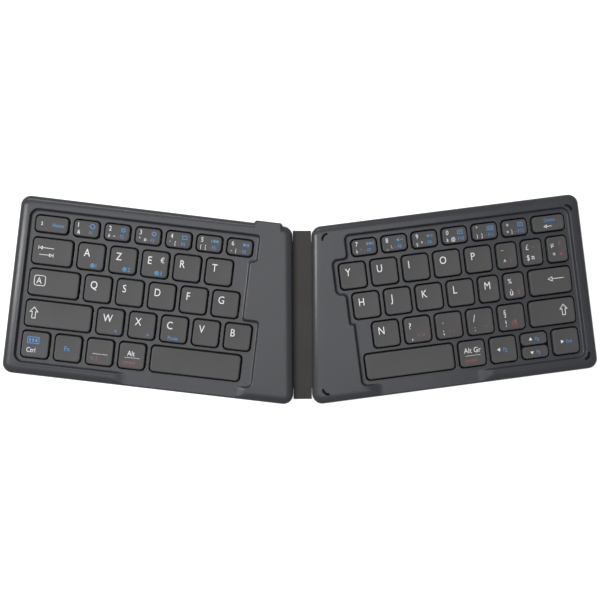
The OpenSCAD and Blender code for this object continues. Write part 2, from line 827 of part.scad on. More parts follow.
// Keys that have a node of their own: name, half, row from the front, place from the outer side
function named(names, side, row, first) = [for (i = [0:len(names) - 1]) [names[i], side, row, first + i]];
SINGLE_KEYS = concat(
    named(["key_a", "key_z", "key_e", "key_r", "key_t"], "left", 3, 1),
    named(["key_q", "key_s", "key_d", "key_f", "key_g"], "left", 2, 1),
    named(["key_left_shift", "key_w", "key_x", "key_c", "key_v", "key_b"], "left", 1, 0),
    named(["key_left_space"], "left", 0, 4),
    named(["key_p", "key_o", "key_i", "key_u", "key_y"], "right", 3, 3),
    named(["key_enter"], "right", 2, 0),
    named(["key_m", "key_l", "key_k", "key_j", "key_h"], "right", 2, 2),
    named(["key_right_shift"], "right", 1, 0),
    named(["key_n"], "right", 1, 5),
    named(["key_right_space"], "right", 0, 4)
);
// Keys that share a node: name, half, cells
KEY_GROUPS = [
    ["number_keys_left", "left", row_cells("left", 4)],
    ["side_keys_left", "left", concat(
        [cell("left", 3, 0), cell("left", 2, 0)],
        [for (i = [0:3]) cell("left", 0, i)]
    )],
    ["number_keys_right", "right", row_cells("right", 4)],
    ["symbol_keys_right", "right", concat(
        [for (i = [0:2]) cell("right", 3, i)],
        [cell("right", 2, 1)],
        [for (i = [1:4]) cell("right", 1, i)],
        [cell("right", 0, 3)]
    )],
    ["arrow_keys_right", "right", [cell("right", 0, 0), UP_CELL, DOWN_CELL, cell("right", 0, 2)]]
];

left_bottom_case();
left_top_case();
left_key_plate();
left_membrane();
left_key_mechanisms();
left_feet();
left_screws();
left_magnets();
main_board();
charging_port();
right_bottom_case();
right_top_case();
right_key_plate();
right_membrane();
right_key_mechanisms();
right_feet();
right_screws();
right_magnets();
battery();
right_corner_bumpers();
hinge_strap();
hinge_strap_left_flap();
hinge_strap_right_flap();
ribbon_cable();
for (k = SINGLE_KEYS) keys(k[1], [cell(k[1], k[2], k[3])]);
for (g = KEY_GROUPS) keys(g[1], g[2]);
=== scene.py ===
# %% [markdown]
# # A folding keyboard, dressed for a close look
# The imported model holds the real sizes and the motion. This script adds what a camera sees:
# soft moulded edges, dished key caps, printed legends, a soft strap, and the finishes.
# Lengths are written in millimetres and turned into metres where a mesh is made.

# %% Load the imported model
import json
import math
from functools import partial

import bmesh
import bpy
from mathutils import Matrix, Vector
from mathutils.geometry import delaunay_2d_cdt


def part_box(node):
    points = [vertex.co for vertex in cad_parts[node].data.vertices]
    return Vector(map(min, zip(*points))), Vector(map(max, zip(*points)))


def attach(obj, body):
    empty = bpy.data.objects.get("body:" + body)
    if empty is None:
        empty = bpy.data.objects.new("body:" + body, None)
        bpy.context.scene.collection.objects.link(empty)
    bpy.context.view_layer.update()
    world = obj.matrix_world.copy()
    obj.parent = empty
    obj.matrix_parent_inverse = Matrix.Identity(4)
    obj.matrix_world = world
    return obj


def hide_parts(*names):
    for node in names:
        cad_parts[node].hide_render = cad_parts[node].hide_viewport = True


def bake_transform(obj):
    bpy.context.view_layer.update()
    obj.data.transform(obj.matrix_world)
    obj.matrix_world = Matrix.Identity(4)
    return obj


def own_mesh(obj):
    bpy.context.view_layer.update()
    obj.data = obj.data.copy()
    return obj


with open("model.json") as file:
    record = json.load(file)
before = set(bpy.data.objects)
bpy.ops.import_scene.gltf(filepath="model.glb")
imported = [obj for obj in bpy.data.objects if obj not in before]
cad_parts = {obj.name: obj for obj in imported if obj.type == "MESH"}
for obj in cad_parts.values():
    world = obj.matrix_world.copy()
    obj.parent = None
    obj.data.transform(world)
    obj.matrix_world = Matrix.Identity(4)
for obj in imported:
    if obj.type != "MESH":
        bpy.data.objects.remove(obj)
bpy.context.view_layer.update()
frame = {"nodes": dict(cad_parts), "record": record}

MM = 0.001
SIDES = ("left", "right")


def linked(name, data):
    """A new object for data, linked to the scene."""
    thing = bpy.data.objects.new(name, data)
    bpy.context.scene.collection.objects.link(thing)
    return thing


def plain_mesh(thing):
    """An object's mesh with its modifiers done."""
    return bpy.data.meshes.new_from_object(thing.evaluated_get(bpy.context.evaluated_depsgraph_get()))


# %% [markdown]
# ## The camera
# The photograph looks almost straight down from half a metre. The angles and the distance
# come from fitting the two tilted halves, so the camera is placed by that fit.

# %% Camera
TILT = math.radians(7.1)
CENTRE_Y = 9.0262
RIM_Z = 7.1


def camera_at(turns, shift, lens):
    """A camera from a fit: turns about X, Y and Z, and the keyboard's place before the camera."""
    rx, ry, rz = (Matrix.Rotation(turn, 3, axis) for turn, axis in zip(turns, "XYZ"))
    look = (rx @ ry @ rz).transposed()
    camera = linked("camera", bpy.data.cameras.new("camera"))
    camera.data.lens = lens
    camera.data.sensor_width = 36
    camera.data.clip_start = 0.02
    place = Vector((0, -CENTRE_Y, RIM_Z)) - look @ Vector(shift)
    camera.matrix_world = Matrix.Translation(place * MM) @ look.to_4x4()
    bpy.context.scene.camera = camera
    return camera


camera = camera_at((0.01357353, 0.03205612, 0.00488854), (1.305366, -8.880299, -501.420204), 60)
print("camera at", [round(c, 4) for c in camera.matrix_world.translation])

# %% [markdown]
# ## Finishes
# Everything here is moulded, so each finish is a base colour with a fine grain in its bump
# and a slow drift of colour and gloss. Noise on Object coordinates keeps the grain at one
# real size on every piece, however large the piece is.

# %% Node helpers
def new_material(name):
    """An empty node material with its shader and output."""
    material = bpy.data.materials.new(name)
    material.use_nodes = True
    tree = material.node_tree
    tree.nodes.clear()
    output = tree.nodes.new("ShaderNodeOutputMaterial")
    shader = tree.nodes.new("ShaderNodeBsdfPrincipled")
    tree.links.new(shader.outputs[0], output.inputs[0])
    return material, tree, shader


def noise(tree, size, detail=2.0, stretch=(1, 1, 1)):
    """A noise texture whose blobs are about size millimetres wide."""
    place = tree.nodes.new("ShaderNodeTexCoord")
    mapping = tree.nodes.new("ShaderNodeMapping")
    mapping.inputs["Scale"].default_value = stretch
    texture = tree.nodes.new("ShaderNodeTexNoise")
    texture.inputs["Scale"].default_value = 1 / (size * MM)
    texture.inputs["Detail"].default_value = detail
    tree.links.new(place.outputs["Object"], mapping.inputs[0])
    tree.links.new(mapping.outputs[0], texture.inputs["Vector"])
    return texture


def spread(tree, source, low, high, out_low, out_high):
    """Turns the range low to high of a value into another range."""
    node = tree.nodes.new("ShaderNodeMapRange")
    for socket, value in zip(("From Min", "From Max", "To Min", "To Max"), (low, high, out_low, out_high)):
        node.inputs[socket].default_value = value
    tree.links.new(source, node.inputs["Value"])
    return node.outputs[0]


def blended(tree, factor, dark, light):
    """A colour between dark and light, by factor."""
    node = tree.nodes.new("ShaderNodeMix")
    node.data_type = "RGBA"
    node.inputs[6].default_value = (*dark, 1)
    node.inputs[7].default_value = (*light, 1)
    tree.links.new(factor, node.inputs[0])
    return node.outputs[2]


# %% Moulded finish
def moulded(name, colour, gloss, grain=0.25, depth=0.02, drift=0.12, specular=0.5):
    """Moulded plastic, rubber or film: a fine grain, and a slow drift of tone and gloss."""
    material, tree, shader = new_material(name)
    slow = noise(tree, 22, 3)
    fine = noise(tree, grain, 3)
    tone = spread(tree, slow.outputs["Fac"], 0.3, 0.7, 0, 1)
    dark = [c * (1 - drift) for c in colour]
    light = [c * (1 + drift) for c in colour]
    tree.links.new(blended(tree, tone, dark, light), shader.inputs["Base Color"])
    rough = spread(tree, fine.outputs["Fac"], 0.3, 0.7, gloss - 0.05, gloss + 0.05)
    tree.links.new(rough, shader.inputs["Roughness"])
    bump = tree.nodes.new("ShaderNodeBump")
    bump.inputs["Strength"].default_value = 0.5
    bump.inputs["Distance"].default_value = depth * MM
    tree.links.new(fine.outputs["Fac"], bump.inputs["Height"])
    tree.links.new(bump.outputs[0], shader.inputs["Normal"])
    shader.inputs["Specular IOR Level"].default_value = specular
    return material


def metal(name, colour, gloss, stretch=(1, 1, 1), size=0.4):
    """Sheet or plated metal, with streaks along one direction where stretch asks for them."""
    material, tree, shader = new_material(name)
    streak = noise(tree, size, 4, stretch)
    rough = spread(tree, streak.outputs["Fac"], 0.3, 0.7, gloss - 0.08, gloss + 0.08)
    tree.links.new(rough, shader.inputs["Roughness"])
    tint = spread(tree, streak.outputs["Fac"], 0.3, 0.7, 0, 1)
    tree.links.new(blended(tree, tint, [c * 0.9 for c in colour], colour), shader.inputs["Base Color"])
    shader.inputs["Metallic"].default_value = 1
    return material


FINISH = {
    "top_case": moulded("case plastic", (0.025, 0.026, 0.030), 0.27, 0.22, 0.008, 0.05, 0.15),
    "bottom_case": moulded("base plastic", (0.030, 0.030, 0.032), 0.5, 0.3, 0.02, 0.1, 0.4),
    "key_cap": moulded("key plastic", (0.050, 0.050, 0.051), 0.42, 0.18, 0.008, 0.05, 0.07),
    "key_plate": metal("key plate steel", (0.18, 0.18, 0.19), 0.35, (1, 12, 1)),
    "membrane": moulded("membrane film", (0.008, 0.008, 0.009), 0.8, 1.5, 0.004, 0.03, 0.04),
    "mechanism": moulded("black nylon", (0.020, 0.020, 0.020), 0.5, 0.4, 0.006, 0.04, 0.3),
    "rubber": moulded("foot rubber", (0.006, 0.006, 0.006), 0.9, 0.3, 0.03, 0.1, 0.04),
    "screw_steel": metal("plated steel", (0.40, 0.40, 0.42), 0.3, (1, 1, 1), 0.15),
    "magnet": metal("nickel", (0.60, 0.60, 0.62), 0.18, (1, 1, 1), 0.5),
    "board": moulded("board lacquer", (0.02, 0.12, 0.05), 0.35, 0.5, 0.01),
    "port_steel": metal("port shell", (0.60, 0.60, 0.62), 0.25, (8, 1, 1)),
    "strap": moulded("strap rubber", (0.028, 0.026, 0.024), 0.66, 0.35, 0.03, 0.08, 0.1),
    "foil": metal("battery foil", (0.65, 0.66, 0.68), 0.4, (1, 1, 1), 2.0),
    "ribbon": moulded("amber film", (0.55, 0.28, 0.05), 0.25, 1.0, 0.003, 0.05),
}
print("finishes:", ", ".join(FINISH))

# %% [markdown]
# ## Nodes that stay as the model has them
# Plates, screws, feet, the board and the bottom cases already have the right shape, so each
# only gets its finish. The pieces that show closely are made again further down.

# %% Dress the model's own nodes
slots = {part["node"]: part["material_slot"] for part in frame["record"]["subparts"]}
for node, thing in frame["nodes"].items():
    thing.data.materials.clear()
    thing.data.materials.append(FINISH[slots[node]])
print("dressed", len(frame["nodes"]), "nodes")

# %% [markdown]
# ## The plan of a half
# Both halves are the same plan, mirrored and turned by the tilt of their key rows. All the
# outlines are drawn in that plan, u outward along a row and v across the rows, and one
# function carries them to the desk.

# %% Sizes of a half
REACH, DEPTH = 146.097, 89.0
EDGE_X = 4.8
CORNER_R = 5.0
SHOULDER_W, SHOULDER_H = 4.5, 2.6
WALL_T, ROOF_T, DECK_T, WELL_WALL = 1.6, 1.2, 1.0, 1.0
SIDE_RIM, FRONT_RIM = 5.9, 6.4
FOLD_Z, DECK_Z, CAP_Z = 2.8, 5.4, 6.9
CAP_H, CAP_TOP, CAP_WALL, CAP_CLEAR, KEY_R = 2.7, 1.0, 0.8, 0.5, 2.0
APRON = {"left": (22.2, 8.4, 83.0, 10.0), "right": (27.6, 8.0, 84.5, 8.0)}
WELL_MARGIN, FRONT_MARGIN, STEP_MARGIN = 2.6, 2.3, 2.0
WELL_R = 4.0
EASE = 0.15
INNER_R = {"left": 1.6, "right": 2.4}
KEY_W, KEY_D, KEY_GAP, ROW_GAP = 13.65, 13.4, 2.35, 2.2
NARROW_W, NUMBER_W, NUMBER_D, NUMBER_GAP = 10.6, 13.0, 8.5, 2.6
REAR = DEPTH / 2
CASE_CREASE, SOFT_CREASE = 35, 50


def to_desk(side, u, v, z):
    """A point of a half's plan, in metres on the desk."""
    x = u * math.cos(TILT) - v * math.sin(TILT)
    y = u * math.sin(TILT) + v * math.cos(TILT) - CENTRE_Y
    return Vector((-x if side == "left" else x, y, z)) * MM


def along(x, v):
    """The u at which the row line v reaches the desk's x."""
    return (x + v * math.sin(TILT)) / math.cos(TILT)


# %% Rows of keys
ROWS = {
    "left": [
        [14, KEY_W, KEY_W, KEY_W, 45.4],
        [33.3] + [KEY_W] * 5,
        [25.3] + [KEY_W] * 5,
        [20.2] + [KEY_W] * 5,
        [16.7] + [NUMBER_W] * 6,
    ],
    "right": [
        [KEY_W] * 4 + [45.4],
        [23.6] + [KEY_W] * 5,
        [21.7, NARROW_W, NARROW_W] + [KEY_W] * 4,
        [NARROW_W] * 3 + [KEY_W] * 5,
        [16.7] + [NUMBER_W] * 6,
    ],
}
FIRST_KEY = REACH - SIDE_RIM - WELL_MARGIN
WELL_FRONT = -REAR + FRONT_RIM


def row_front(row):
    """The v of a row's front edge."""
    return WELL_FRONT + FRONT_MARGIN + row * (KEY_D + ROW_GAP) + (NUMBER_GAP - ROW_GAP) * (row == 4)


def cell(side, row, i):
    """A key's cell in plan, counted from the outer side: inner u, front v, outer u, rear v."""
    outer = FIRST_KEY - sum(ROWS[side][row][:i]) - i * KEY_GAP
    front = row_front(row)
    return (outer - ROWS[side][row][i], front, outer, front + (NUMBER_D if row == 4 else KEY_D))


PAIR = cell("right", 0, 1)
PAIR_MID = (PAIR[1] + PAIR[3]) / 2
UP_CELL = (PAIR[0], PAIR_MID, PAIR[2], PAIR[3])
DOWN_CELL = (PAIR[0], PAIR[1], PAIR[2], PAIR_MID)
WINDOWS = {s: [cell(s, r, i) for r in range(5) for i in range(len(ROWS[s][r]))] for s in ROWS}
print("windows:", {side: len(cells) for side, cells in WINDOWS.items()})

# %% [markdown]
# ## Outlines
# An outline is a list of corners, each with its own radius. Moving every edge inward by the
# same amount, and giving each corner as many points as before, makes rings that can be
# joined one to one: that is all a moulded edge needs.

# %% Outline of any corners
ARC = 8


def outline(corners, inset=0.0, stops=()):
    """A closed ring of plan points, inset from its corners. stops are extra u values on the first edge."""
    count = len(corners)
    lines = []
    for i, (x, y, _) in enumerate(corners):
        step = Vector(corners[(i + 1) % count][:2]) - Vector((x, y))
        step.normalize()
        inward = Vector((-step.y, step.x))
        lines.append((Vector((x, y)) + inward * inset, step))
    ring = []
    for i, (_, _, radius) in enumerate(corners):
        (p, a), (q, b) = lines[i - 1], lines[i]
        cross = a.x * b.y - a.y * b.x
        at = p + a * (((q - p).x * b.y - (q - p).y * b.x) / cross)
        turn = math.atan2(cross, a.dot(b))
        r = max(radius - inset if turn > 0 else radius + (inset if inset < 0 else 0.15 * inset), 0.05)
        start = at - a * (r * math.tan(abs(turn) / 2))
        side = 1 if turn > 0 else -1
        centre = start + Vector((-a.y, a.x)) * (r * side)
        for k in range(ARC + 1):
            ring.append(centre + Matrix.Rotation(turn * k / ARC, 2) @ (start - centre))
        if i == 0:
            ring += [Vector((u, at.y)) for u in stops]
    return ring


# %% Outlines of the case and the well
GROUPS = {"left": [(0, 1), (2, 3), (4, 4)], "right": [(0, 1), (2, 2), (3, 3), (4, 4)]}
PORT_X = cell("left", 4, 6)[0] - WELL_MARGIN - 4.5 + 0.8
TAB_W, TAB_OUT, TAB_SLOPE, TAB_ROOT = 12.6, 1.2, 2.4, 1.4
front_stops = [30 + 2.5 * i for i in range(42)]
ramp_stops = [20 + 0.75 * i for i in range(24)] + [82 + 0.75 * i for i in range(18)]
STOPS = sorted(set(front_stops + ramp_stops))


def case_corners(side):
    """The case in plan. The left half has the port housing on its rear edge."""
    run = TAB_SLOPE * TAB_OUT / (TAB_OUT + TAB_ROOT)
    low, high = PORT_X - TAB_W / 2, PORT_X + TAB_W / 2
    housing = [
        (high + run, REAR, 0.5), (high, REAR + TAB_OUT, 0.6),
        (low, REAR + TAB_OUT, 0.6), (low - run, REAR, 0.2),
    ]
    return [
        (along(EDGE_X, -REAR), -REAR, CORNER_R), (REACH, -REAR, CORNER_R), (REACH, REAR, CORNER_R),
        *(housing if side == "left" else []), (along(EDGE_X, REAR), REAR, CORNER_R),
    ]


def group_end(side, group):
    """The well's inner u beside a group of rows."""
    first, last = group
    return min(cell(side, row, len(ROWS[side][row]) - 1)[0] for row in range(first, last + 1)) - WELL_MARGIN


def well_corners(side):
    """The well in plan, with its inner side stepping as the rows do."""
    groups = GROUPS[side]
    ends = [group_end(side, group) for group in groups]
    rear = cell(side, 4, 0)[3] + WELL_MARGIN
    r = INNER_R[side]
    corners = [
        (ends[0], WELL_FRONT, max(r, 2.6)), (REACH - SIDE_RIM, WELL_FRONT, WELL_R),
        (REACH - SIDE_RIM, rear, WELL_R), (ends[-1], rear, r),
    ]
    for i in range(len(groups) - 1, 0, -1):
        if ends[i - 1] < ends[i]:
            v = cell(side, groups[i - 1][1], 0)[3] + STEP_MARGIN
        else:
            v = cell(side, groups[i][0], 0)[1] - STEP_MARGIN
        step_r = min(r, abs(ends[i] - ends[i - 1]) / 2 - 0.02)
        corners += [(ends[i], v, step_r), (ends[i - 1], v, step_r)]
    return corners


def box_corners(box, radius):
    """A rectangle in plan with one radius."""
    u0, v0, u1, v1 = box
    return [(u0, v0, radius), (u1, v0, radius), (u1, v1, radius), (u0, v1, radius)]


print("well steps:", {side: len(well_corners(side)) for side in GROUPS})

# %% [markdown]
# ## Rings into surfaces
# A small collector keeps points and faces. Rings are bridged one to one, and flat areas with
# holes are triangulated between their rings, so every opening keeps its own smooth edge.

# %% Surface collector
class Surface:
    """Points in plan and height, and the faces between them."""

    def __init__(self, side):
        self.side, self.points, self.faces = side, [], []

    def ring(self, plan, height):
        """Adds a ring; height is a number or a function of u and v."""
        first = len(self.points)
        for p in plan:
            self.points.append((p.x, p.y, height(p.x, p.y) if callable(height) else height))
        return list(range(first, len(self.points)))

    def bridge(self, a, b):
        """Faces between two rings of as many points."""
        n = len(a)
        self.faces += [(a[i], a[(i + 1) % n], b[(i + 1) % n], b[i]) for i in range(n)]

    def stack(self, rings):
        """Bridges each ring to the next and gives back the last."""
        for a, b in zip(rings, rings[1:]):
            self.bridge(a, b)
        return rings[-1]

    def fill(self, outer, holes=()):
        """Triangles between an outer ring and its holes."""
        loops = [outer, *holes]
        index = [i for loop in loops for i in loop]
        plan = [Vector(self.points[i][:2]) for i in index]
        edges, first = [], 0
        for loop in loops:
            n = len(loop)
            edges += [(first + k, first + (k + 1) % n) for k in range(n)]
            first += n
        verts, _, faces, origins, _, _ = delaunay_2d_cdt(plan, edges, [], 0, 1e-5)
        sides = [(plan[a], plan[b]) for a, b in edges]
        for face in faces:
            centre = sum((verts[i] for i in face), Vector((0, 0))) / len(face)
            if inside(centre, sides):
                self.faces.append(tuple(index[origins[i][0]] for i in face))

    def mesh(self, name, material):
        """The closed mesh, with its faces turned outwards."""
        data = bpy.data.meshes.new(name)
        data.from_pydata([to_desk(self.side, *p) for p in self.points], [], self.faces)
        return finished(name, data, material)


def inside(point, sides):
    """Even-odd test of a point against all the sides of an area."""
    hits = 0
    for a, b in sides:
        if (a.y > point.y) != (b.y > point.y):
            hits += point.x < a.x + (point.y - a.y) * (b.x - a.x) / (b.y - a.y)
    return hits % 2 == 1


def finished(name, data, material, sharp=CASE_CREASE):
    """An object for a mesh: doubles merged, faces outwards, smooth but for its sharp edges."""
    work = bmesh.new()
    work.from_mesh(data)
    bmesh.ops.remove_doubles(work, verts=work.verts, dist=1e-7)
    bmesh.ops.recalc_face_normals(work, faces=work.faces)
    work.to_mesh(data)
    work.free()
    data.shade_smooth()
    data.set_sharp_from_angle(angle=math.radians(sharp))
    if not data.materials:
        data.materials.append(material)
    return linked(name, data)


# %% [markdown]
# ## The top cases
# Each top case is one moulding: a rounded shoulder, a flat plateau beside the fold, a sunken
# well with soft edges, and a low apron where the front rim dips. Height is a function of the
# plan here, so the dip is a smooth ramp in every ring that crosses it.

# %% Heights of a top case
def smooth(t):
    """An even ramp from 0 to 1, flat at both ends."""
    t = min(max(t, 0), 1)
    return t * t * (3 - 2 * t)


def apron_z(side, u):
    """Top of the front rim at u."""
    start, fall, end, rise = APRON[side]
    down = smooth((u - start) / fall)
    up = smooth((u - end) / rise)
    return RIM_Z - (RIM_Z - DECK_Z) * (down - up)


def soft_min(a, b, reach=0.4):
    """The lower of two heights, with the crease between them rounded."""
    near = max(reach - abs(a - b), 0) / reach
    return min(a, b) - near * near * reach / 4


def under_apron(side, z, drop=0.0):
    """A height that stays drop below the apron along the front rim."""
    return lambda u, v: soft_min(z, apron_z(side, u) - drop) if v < WELL_FRONT + 3 else z


def with_apron(side, z):
    """A height of the well's edge, which flattens to the deck where the rim dips."""
    rise = (z - DECK_Z) / (RIM_Z - DECK_Z)
    return lambda u, v: DECK_Z + rise * (apron_z(side, u) - DECK_Z) if v < WELL_FRONT + 3 else z


def housing_share(side, u, v):
    """1 over the port housing, where the shoulder is only a small edge, and 0 elsewhere."""
    if side == "right" or v < REAR - 4:
        return 0.0
    return smooth((TAB_W / 2 + 1.2 - abs(u - PORT_X)) / 1.2)


def shoulder_z(side, inset):
    """The height of the shoulder at an inset from the case's outline."""
    def arc(width, height):
        t = min(inset / width, 1)
        return RIM_Z - height * (1 - math.sqrt(max(1 - (1 - t) ** 2, 0)))

    def height(u, v):
        share = housing_share(side, u, v)
        z = arc(SHOULDER_W, SHOULDER_H) * (1 - share) + arc(0.5, 0.5) * share
        return under_apron(side, z)(u, v)
    return height


# %% Build a top case
WALL_LEAN = math.radians(62)


def soft_bend(radius, soft=math.radians(27), tight=0.25):
    """Run and drop of an edge that starts on a wide radius and ends on a tight one at the wall's lean."""
    points = [(radius * math.sin(soft * k / 4), radius * (1 - math.cos(soft * k / 4))) for k in range(5)]
    run, drop = points[-1]
    for k in range(1, 4):
        turn = soft + (WALL_LEAN - soft) * k / 3
        out, down = math.sin(turn) - math.sin(soft), math.cos(soft) - math.cos(turn)
        points.append((run + tight * out, drop + tight * down))
    return points


def top_case(side):
    """The moulded top of one half."""
    s = Surface(side)
    case, well = case_corners(side), well_corners(side)
    panel = lambda inset: outline(case, inset, STOPS)
    basin = lambda inset: outline(well, inset, [u for u in STOPS if u > well[0][0] + well[0][2] + 0.2])
    turns = [math.radians(90 * k / 9) for k in range(10)]
    wall = [(WALL_T, FOLD_Z), (0.12, FOLD_Z), (0.0, FOLD_Z + 0.12)]
    outer = [s.ring(panel(inset), z) for inset, z in wall]
    shoulder = [SHOULDER_W * (1 - math.cos(t)) for t in turns] + [SHOULDER_W + 0.2]
    outer += [s.ring(panel(inset), shoulder_z(side, inset)) for inset in shoulder]
    s.stack(outer)
    brow, foot, toe = soft_bend(0.9), soft_bend(1.25), 0.93
    rest = RIM_Z - DECK_Z - brow[-1][1] - foot[-1][1]
    back = brow[-1][0] + foot[-1][0] + rest / math.tan(WALL_LEAN) - toe
    steps = [(-back - 0.15, RIM_Z)] + [(x - back, RIM_Z - z) for x, z in brow]
    steps += [(toe - x, DECK_Z + z) for x, z in reversed(foot)]
    rim = [s.ring(basin(inset), with_apron(side, z)) for inset, z in steps]
    s.fill(outer[-1], [rim[0]])
    s.stack(rim)
    holes, unders = [], []
    for window in WINDOWS[side]:
        corners = box_corners(window, KEY_R)
        opening = lambda by: outline(corners, -by)
        half = CAP_CLEAR / 2 + EASE
        steps = [(0.3, 0), (0.12, 0), (0.035, 0.035), (0, 0.12), (-0.02, DECK_T)]
        rings = [s.ring(opening(half + by), DECK_Z - down) for by, down in steps]
        s.stack(rings)
        holes.append(rings[0])
        unders.append(rings[-1])
    s.fill(rim[-1], holes)
    roof = s.ring(panel(WALL_T + 0.02), under_apron(side, RIM_Z - ROOF_T, DECK_T))
    ledge = s.ring(basin(-WELL_WALL), under_apron(side, RIM_Z - ROOF_T, DECK_T))
    under = s.ring(basin(-WELL_WALL + 0.1), DECK_Z - DECK_T - 0.01)
    s.bridge(outer[0], roof)
    s.fill(roof, [ledge])
    s.bridge(ledge, under)
    s.fill(under, unders)
    return s.mesh(f"{side}_top_shell", FINISH["top_case"])


shells = {side: top_case(side) for side in SIDES}
for side, shell in shells.items():
    print(shell.name, len(shell.data.polygons), "faces")

# %% [markdown]
# ### The port opening
# The housing at the rear of the left half has a slot for the charging plug. A boolean cut
# with a rounded bar gives the slot its true shape where the wall is straight.

# %% Cut the port opening
PORT_W, PORT_H, PORT_Z = 9.0, 3.2, 2.2
PORT_ROOM, CUT_IN, CUT_OUT = 0.1, 6, 3


def stadium(width, height, steps=10):
    """A flat oval: a bar with round ends."""
    r = height / 2
    ends = [(width / 2 - r, -90), (-(width / 2 - r), 90)]
    turns = [(x, math.radians(first + 180 * k / steps)) for x, first in ends for k in range(steps + 1)]
    return [(x + r * math.cos(t), r * math.sin(t)) for x, t in turns]


def rounded_bar(name, width, height, front, rear):
    """A bar through the port's place, across the rear wall."""
    data = bpy.data.meshes.new(name)
    section = stadium(width, height)
    n = len(section)
    z = PORT_Z + PORT_H / 2
    points = [to_desk("left", PORT_X + x, v, z + y) for v in (front, rear) for x, y in section]
    faces = [(i, (i + 1) % n, n + (i + 1) % n, n + i) for i in range(n)]
    data.from_pydata(points, [], [*faces, tuple(range(n)), tuple(range(2 * n - 1, n - 1, -1))])
    return finished(name, data, FINISH["top_case"])


def cut(thing, cutter):
    """thing without cutter, as a plain mesh."""
    bite = thing.modifiers.new("cut", "BOOLEAN")
    bite.operation, bite.solver, bite.object = "DIFFERENCE", "EXACT", cutter
    data = plain_mesh(thing)
    thing.modifiers.remove(bite)
    thing.data = data
    bpy.data.objects.remove(cutter)
    data.set_sharp_from_angle(angle=math.radians(CASE_CREASE))


port_size = (PORT_W + PORT_ROOM, PORT_H + PORT_ROOM)
cut(shells["left"], rounded_bar("port_cutter", *port_size, REAR - CUT_IN, REAR + CUT_OUT))
print("left shell after the cut:", len(shells["left"].data.polygons), "faces")
for side, shell in shells.items():
    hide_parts(f"{side}_top_case")
    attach(shell, f"{side}_half")

# %% [markdown]
# ## The key caps
# All the caps follow one rule, only their width and depth differ, so one Geometry Nodes tree
# makes them. A grid is bent to a rounded rectangle, its edge is rolled over and its middle
# is dished a little. The skirt is the grid's border pulled down, in and up again.

# %% Node tree helpers
class Tree:
    """A Geometry Nodes tree built line by line."""

    def __init__(self, name, sizes):
        self.tree = bpy.data.node_groups.new(name, "GeometryNodeTree")
        self.tree.is_modifier = True
        face = self.tree.interface
        for label, value in sizes.items():
            kind = "NodeSocketMaterial" if value is None else "NodeSocketFloat"
            socket = face.new_socket(label, in_out="INPUT", socket_type=kind)
            if value is not None:
                socket.default_value = value
        face.new_socket("Geometry", in_out="OUTPUT", socket_type="NodeSocketGeometry")
        self.source = self.tree.nodes.new("NodeGroupInput")
        self.out = self.tree.nodes.new("NodeGroupOutput")

    def size(self, label):
        """The tree's own size of that name."""
        return self.source.outputs[label]

    def add(self, kind, inputs=(), **settings):
        """A node with its settings, and its inputs given by name or number."""
        node = self.tree.nodes.new(kind)
        for key, value in settings.items():
            setattr(node, key, value)
        for key, value in dict(inputs).items():
            if isinstance(value, bpy.types.NodeSocket):
                self.tree.links.new(value, node.inputs[key])
            else:
                node.inputs[key].default_value = value
        return node

    def math(self, operation, a, b=0.0, c=0.0):
        """A sum on numbers."""
        return self.add("ShaderNodeMath", {0: a, 1: b, 2: c}, operation=operation).outputs[0]

    def vector(self, operation, a, b=(0, 0, 0)):
        """A sum on vectors."""
        node = self.add("ShaderNodeVectorMath", {0: a, 1: b}, operation=operation)
        return node.outputs["Value" if operation == "LENGTH" else "Vector"]

    def scaled(self, a, by):
        """A vector times a number."""
        return self.add("ShaderNodeVectorMath", {0: a, "Scale": by}, operation="SCALE").outputs[0]

    def triple(self, x, y, z=0.0):
        """A vector from three numbers."""
        return self.add("ShaderNodeCombineXYZ", {0: x, 1: y, 2: z}).outputs[0]

    def parts(self, a):
        """The three numbers of a vector."""
        return self.add("ShaderNodeSeparateXYZ", {0: a}).outputs

    def moved(self, geometry, position, selection=True):
        """The geometry with its selected points at position."""
        inputs = {"Geometry": geometry, "Position": position, "Selection": selection}
        return self.add("GeometryNodeSetPosition", inputs).outputs[0]

    def finish(self, geometry, material):
        """Ends the tree with plain geometry and its finish."""
        plain = self.add("GeometryNodeRealizeInstances", {0: geometry}).outputs[0]
        dressed = self.add("GeometryNodeSetMaterial", {"Geometry": plain, "Material": material})
        self.tree.links.new(dressed.outputs[0], self.out.inputs[0])
        return self.tree


def grow(tree, sizes):
    """The mesh that a tree makes with these sizes, as plain data."""
    holder = linked("grow", bpy.data.meshes.new("grow"))
    modifier = holder.modifiers.new("grow", "NODES")
    modifier.node_group = tree
    for item in tree.interface.items_tree:
        if item.item_type == "SOCKET" and item.in_out == "INPUT" and item.name in sizes:
            modifier[item.identifier] = sizes[item.name]
    holder.update_tag()
    data = plain_mesh(holder)
    bpy.data.objects.remove(holder)
    return data


def pooled(name, copies, material):
    """One mesh of several copies, each given by its tree, its sizes and its place on the desk."""
    work = bmesh.new()
    for tree, sizes, place in copies:
        data = grow(tree, {**sizes, "Material": material})
        data.transform(place @ Matrix.Scale(MM, 4))
        work.from_mesh(data)
        bpy.data.meshes.remove(data)
    data = bpy.data.meshes.new(name)
    work.to_mesh(data)
    work.free()
    return finished(name, data, material, SOFT_CREASE)


# %% The cap tree
DISH = 0.26


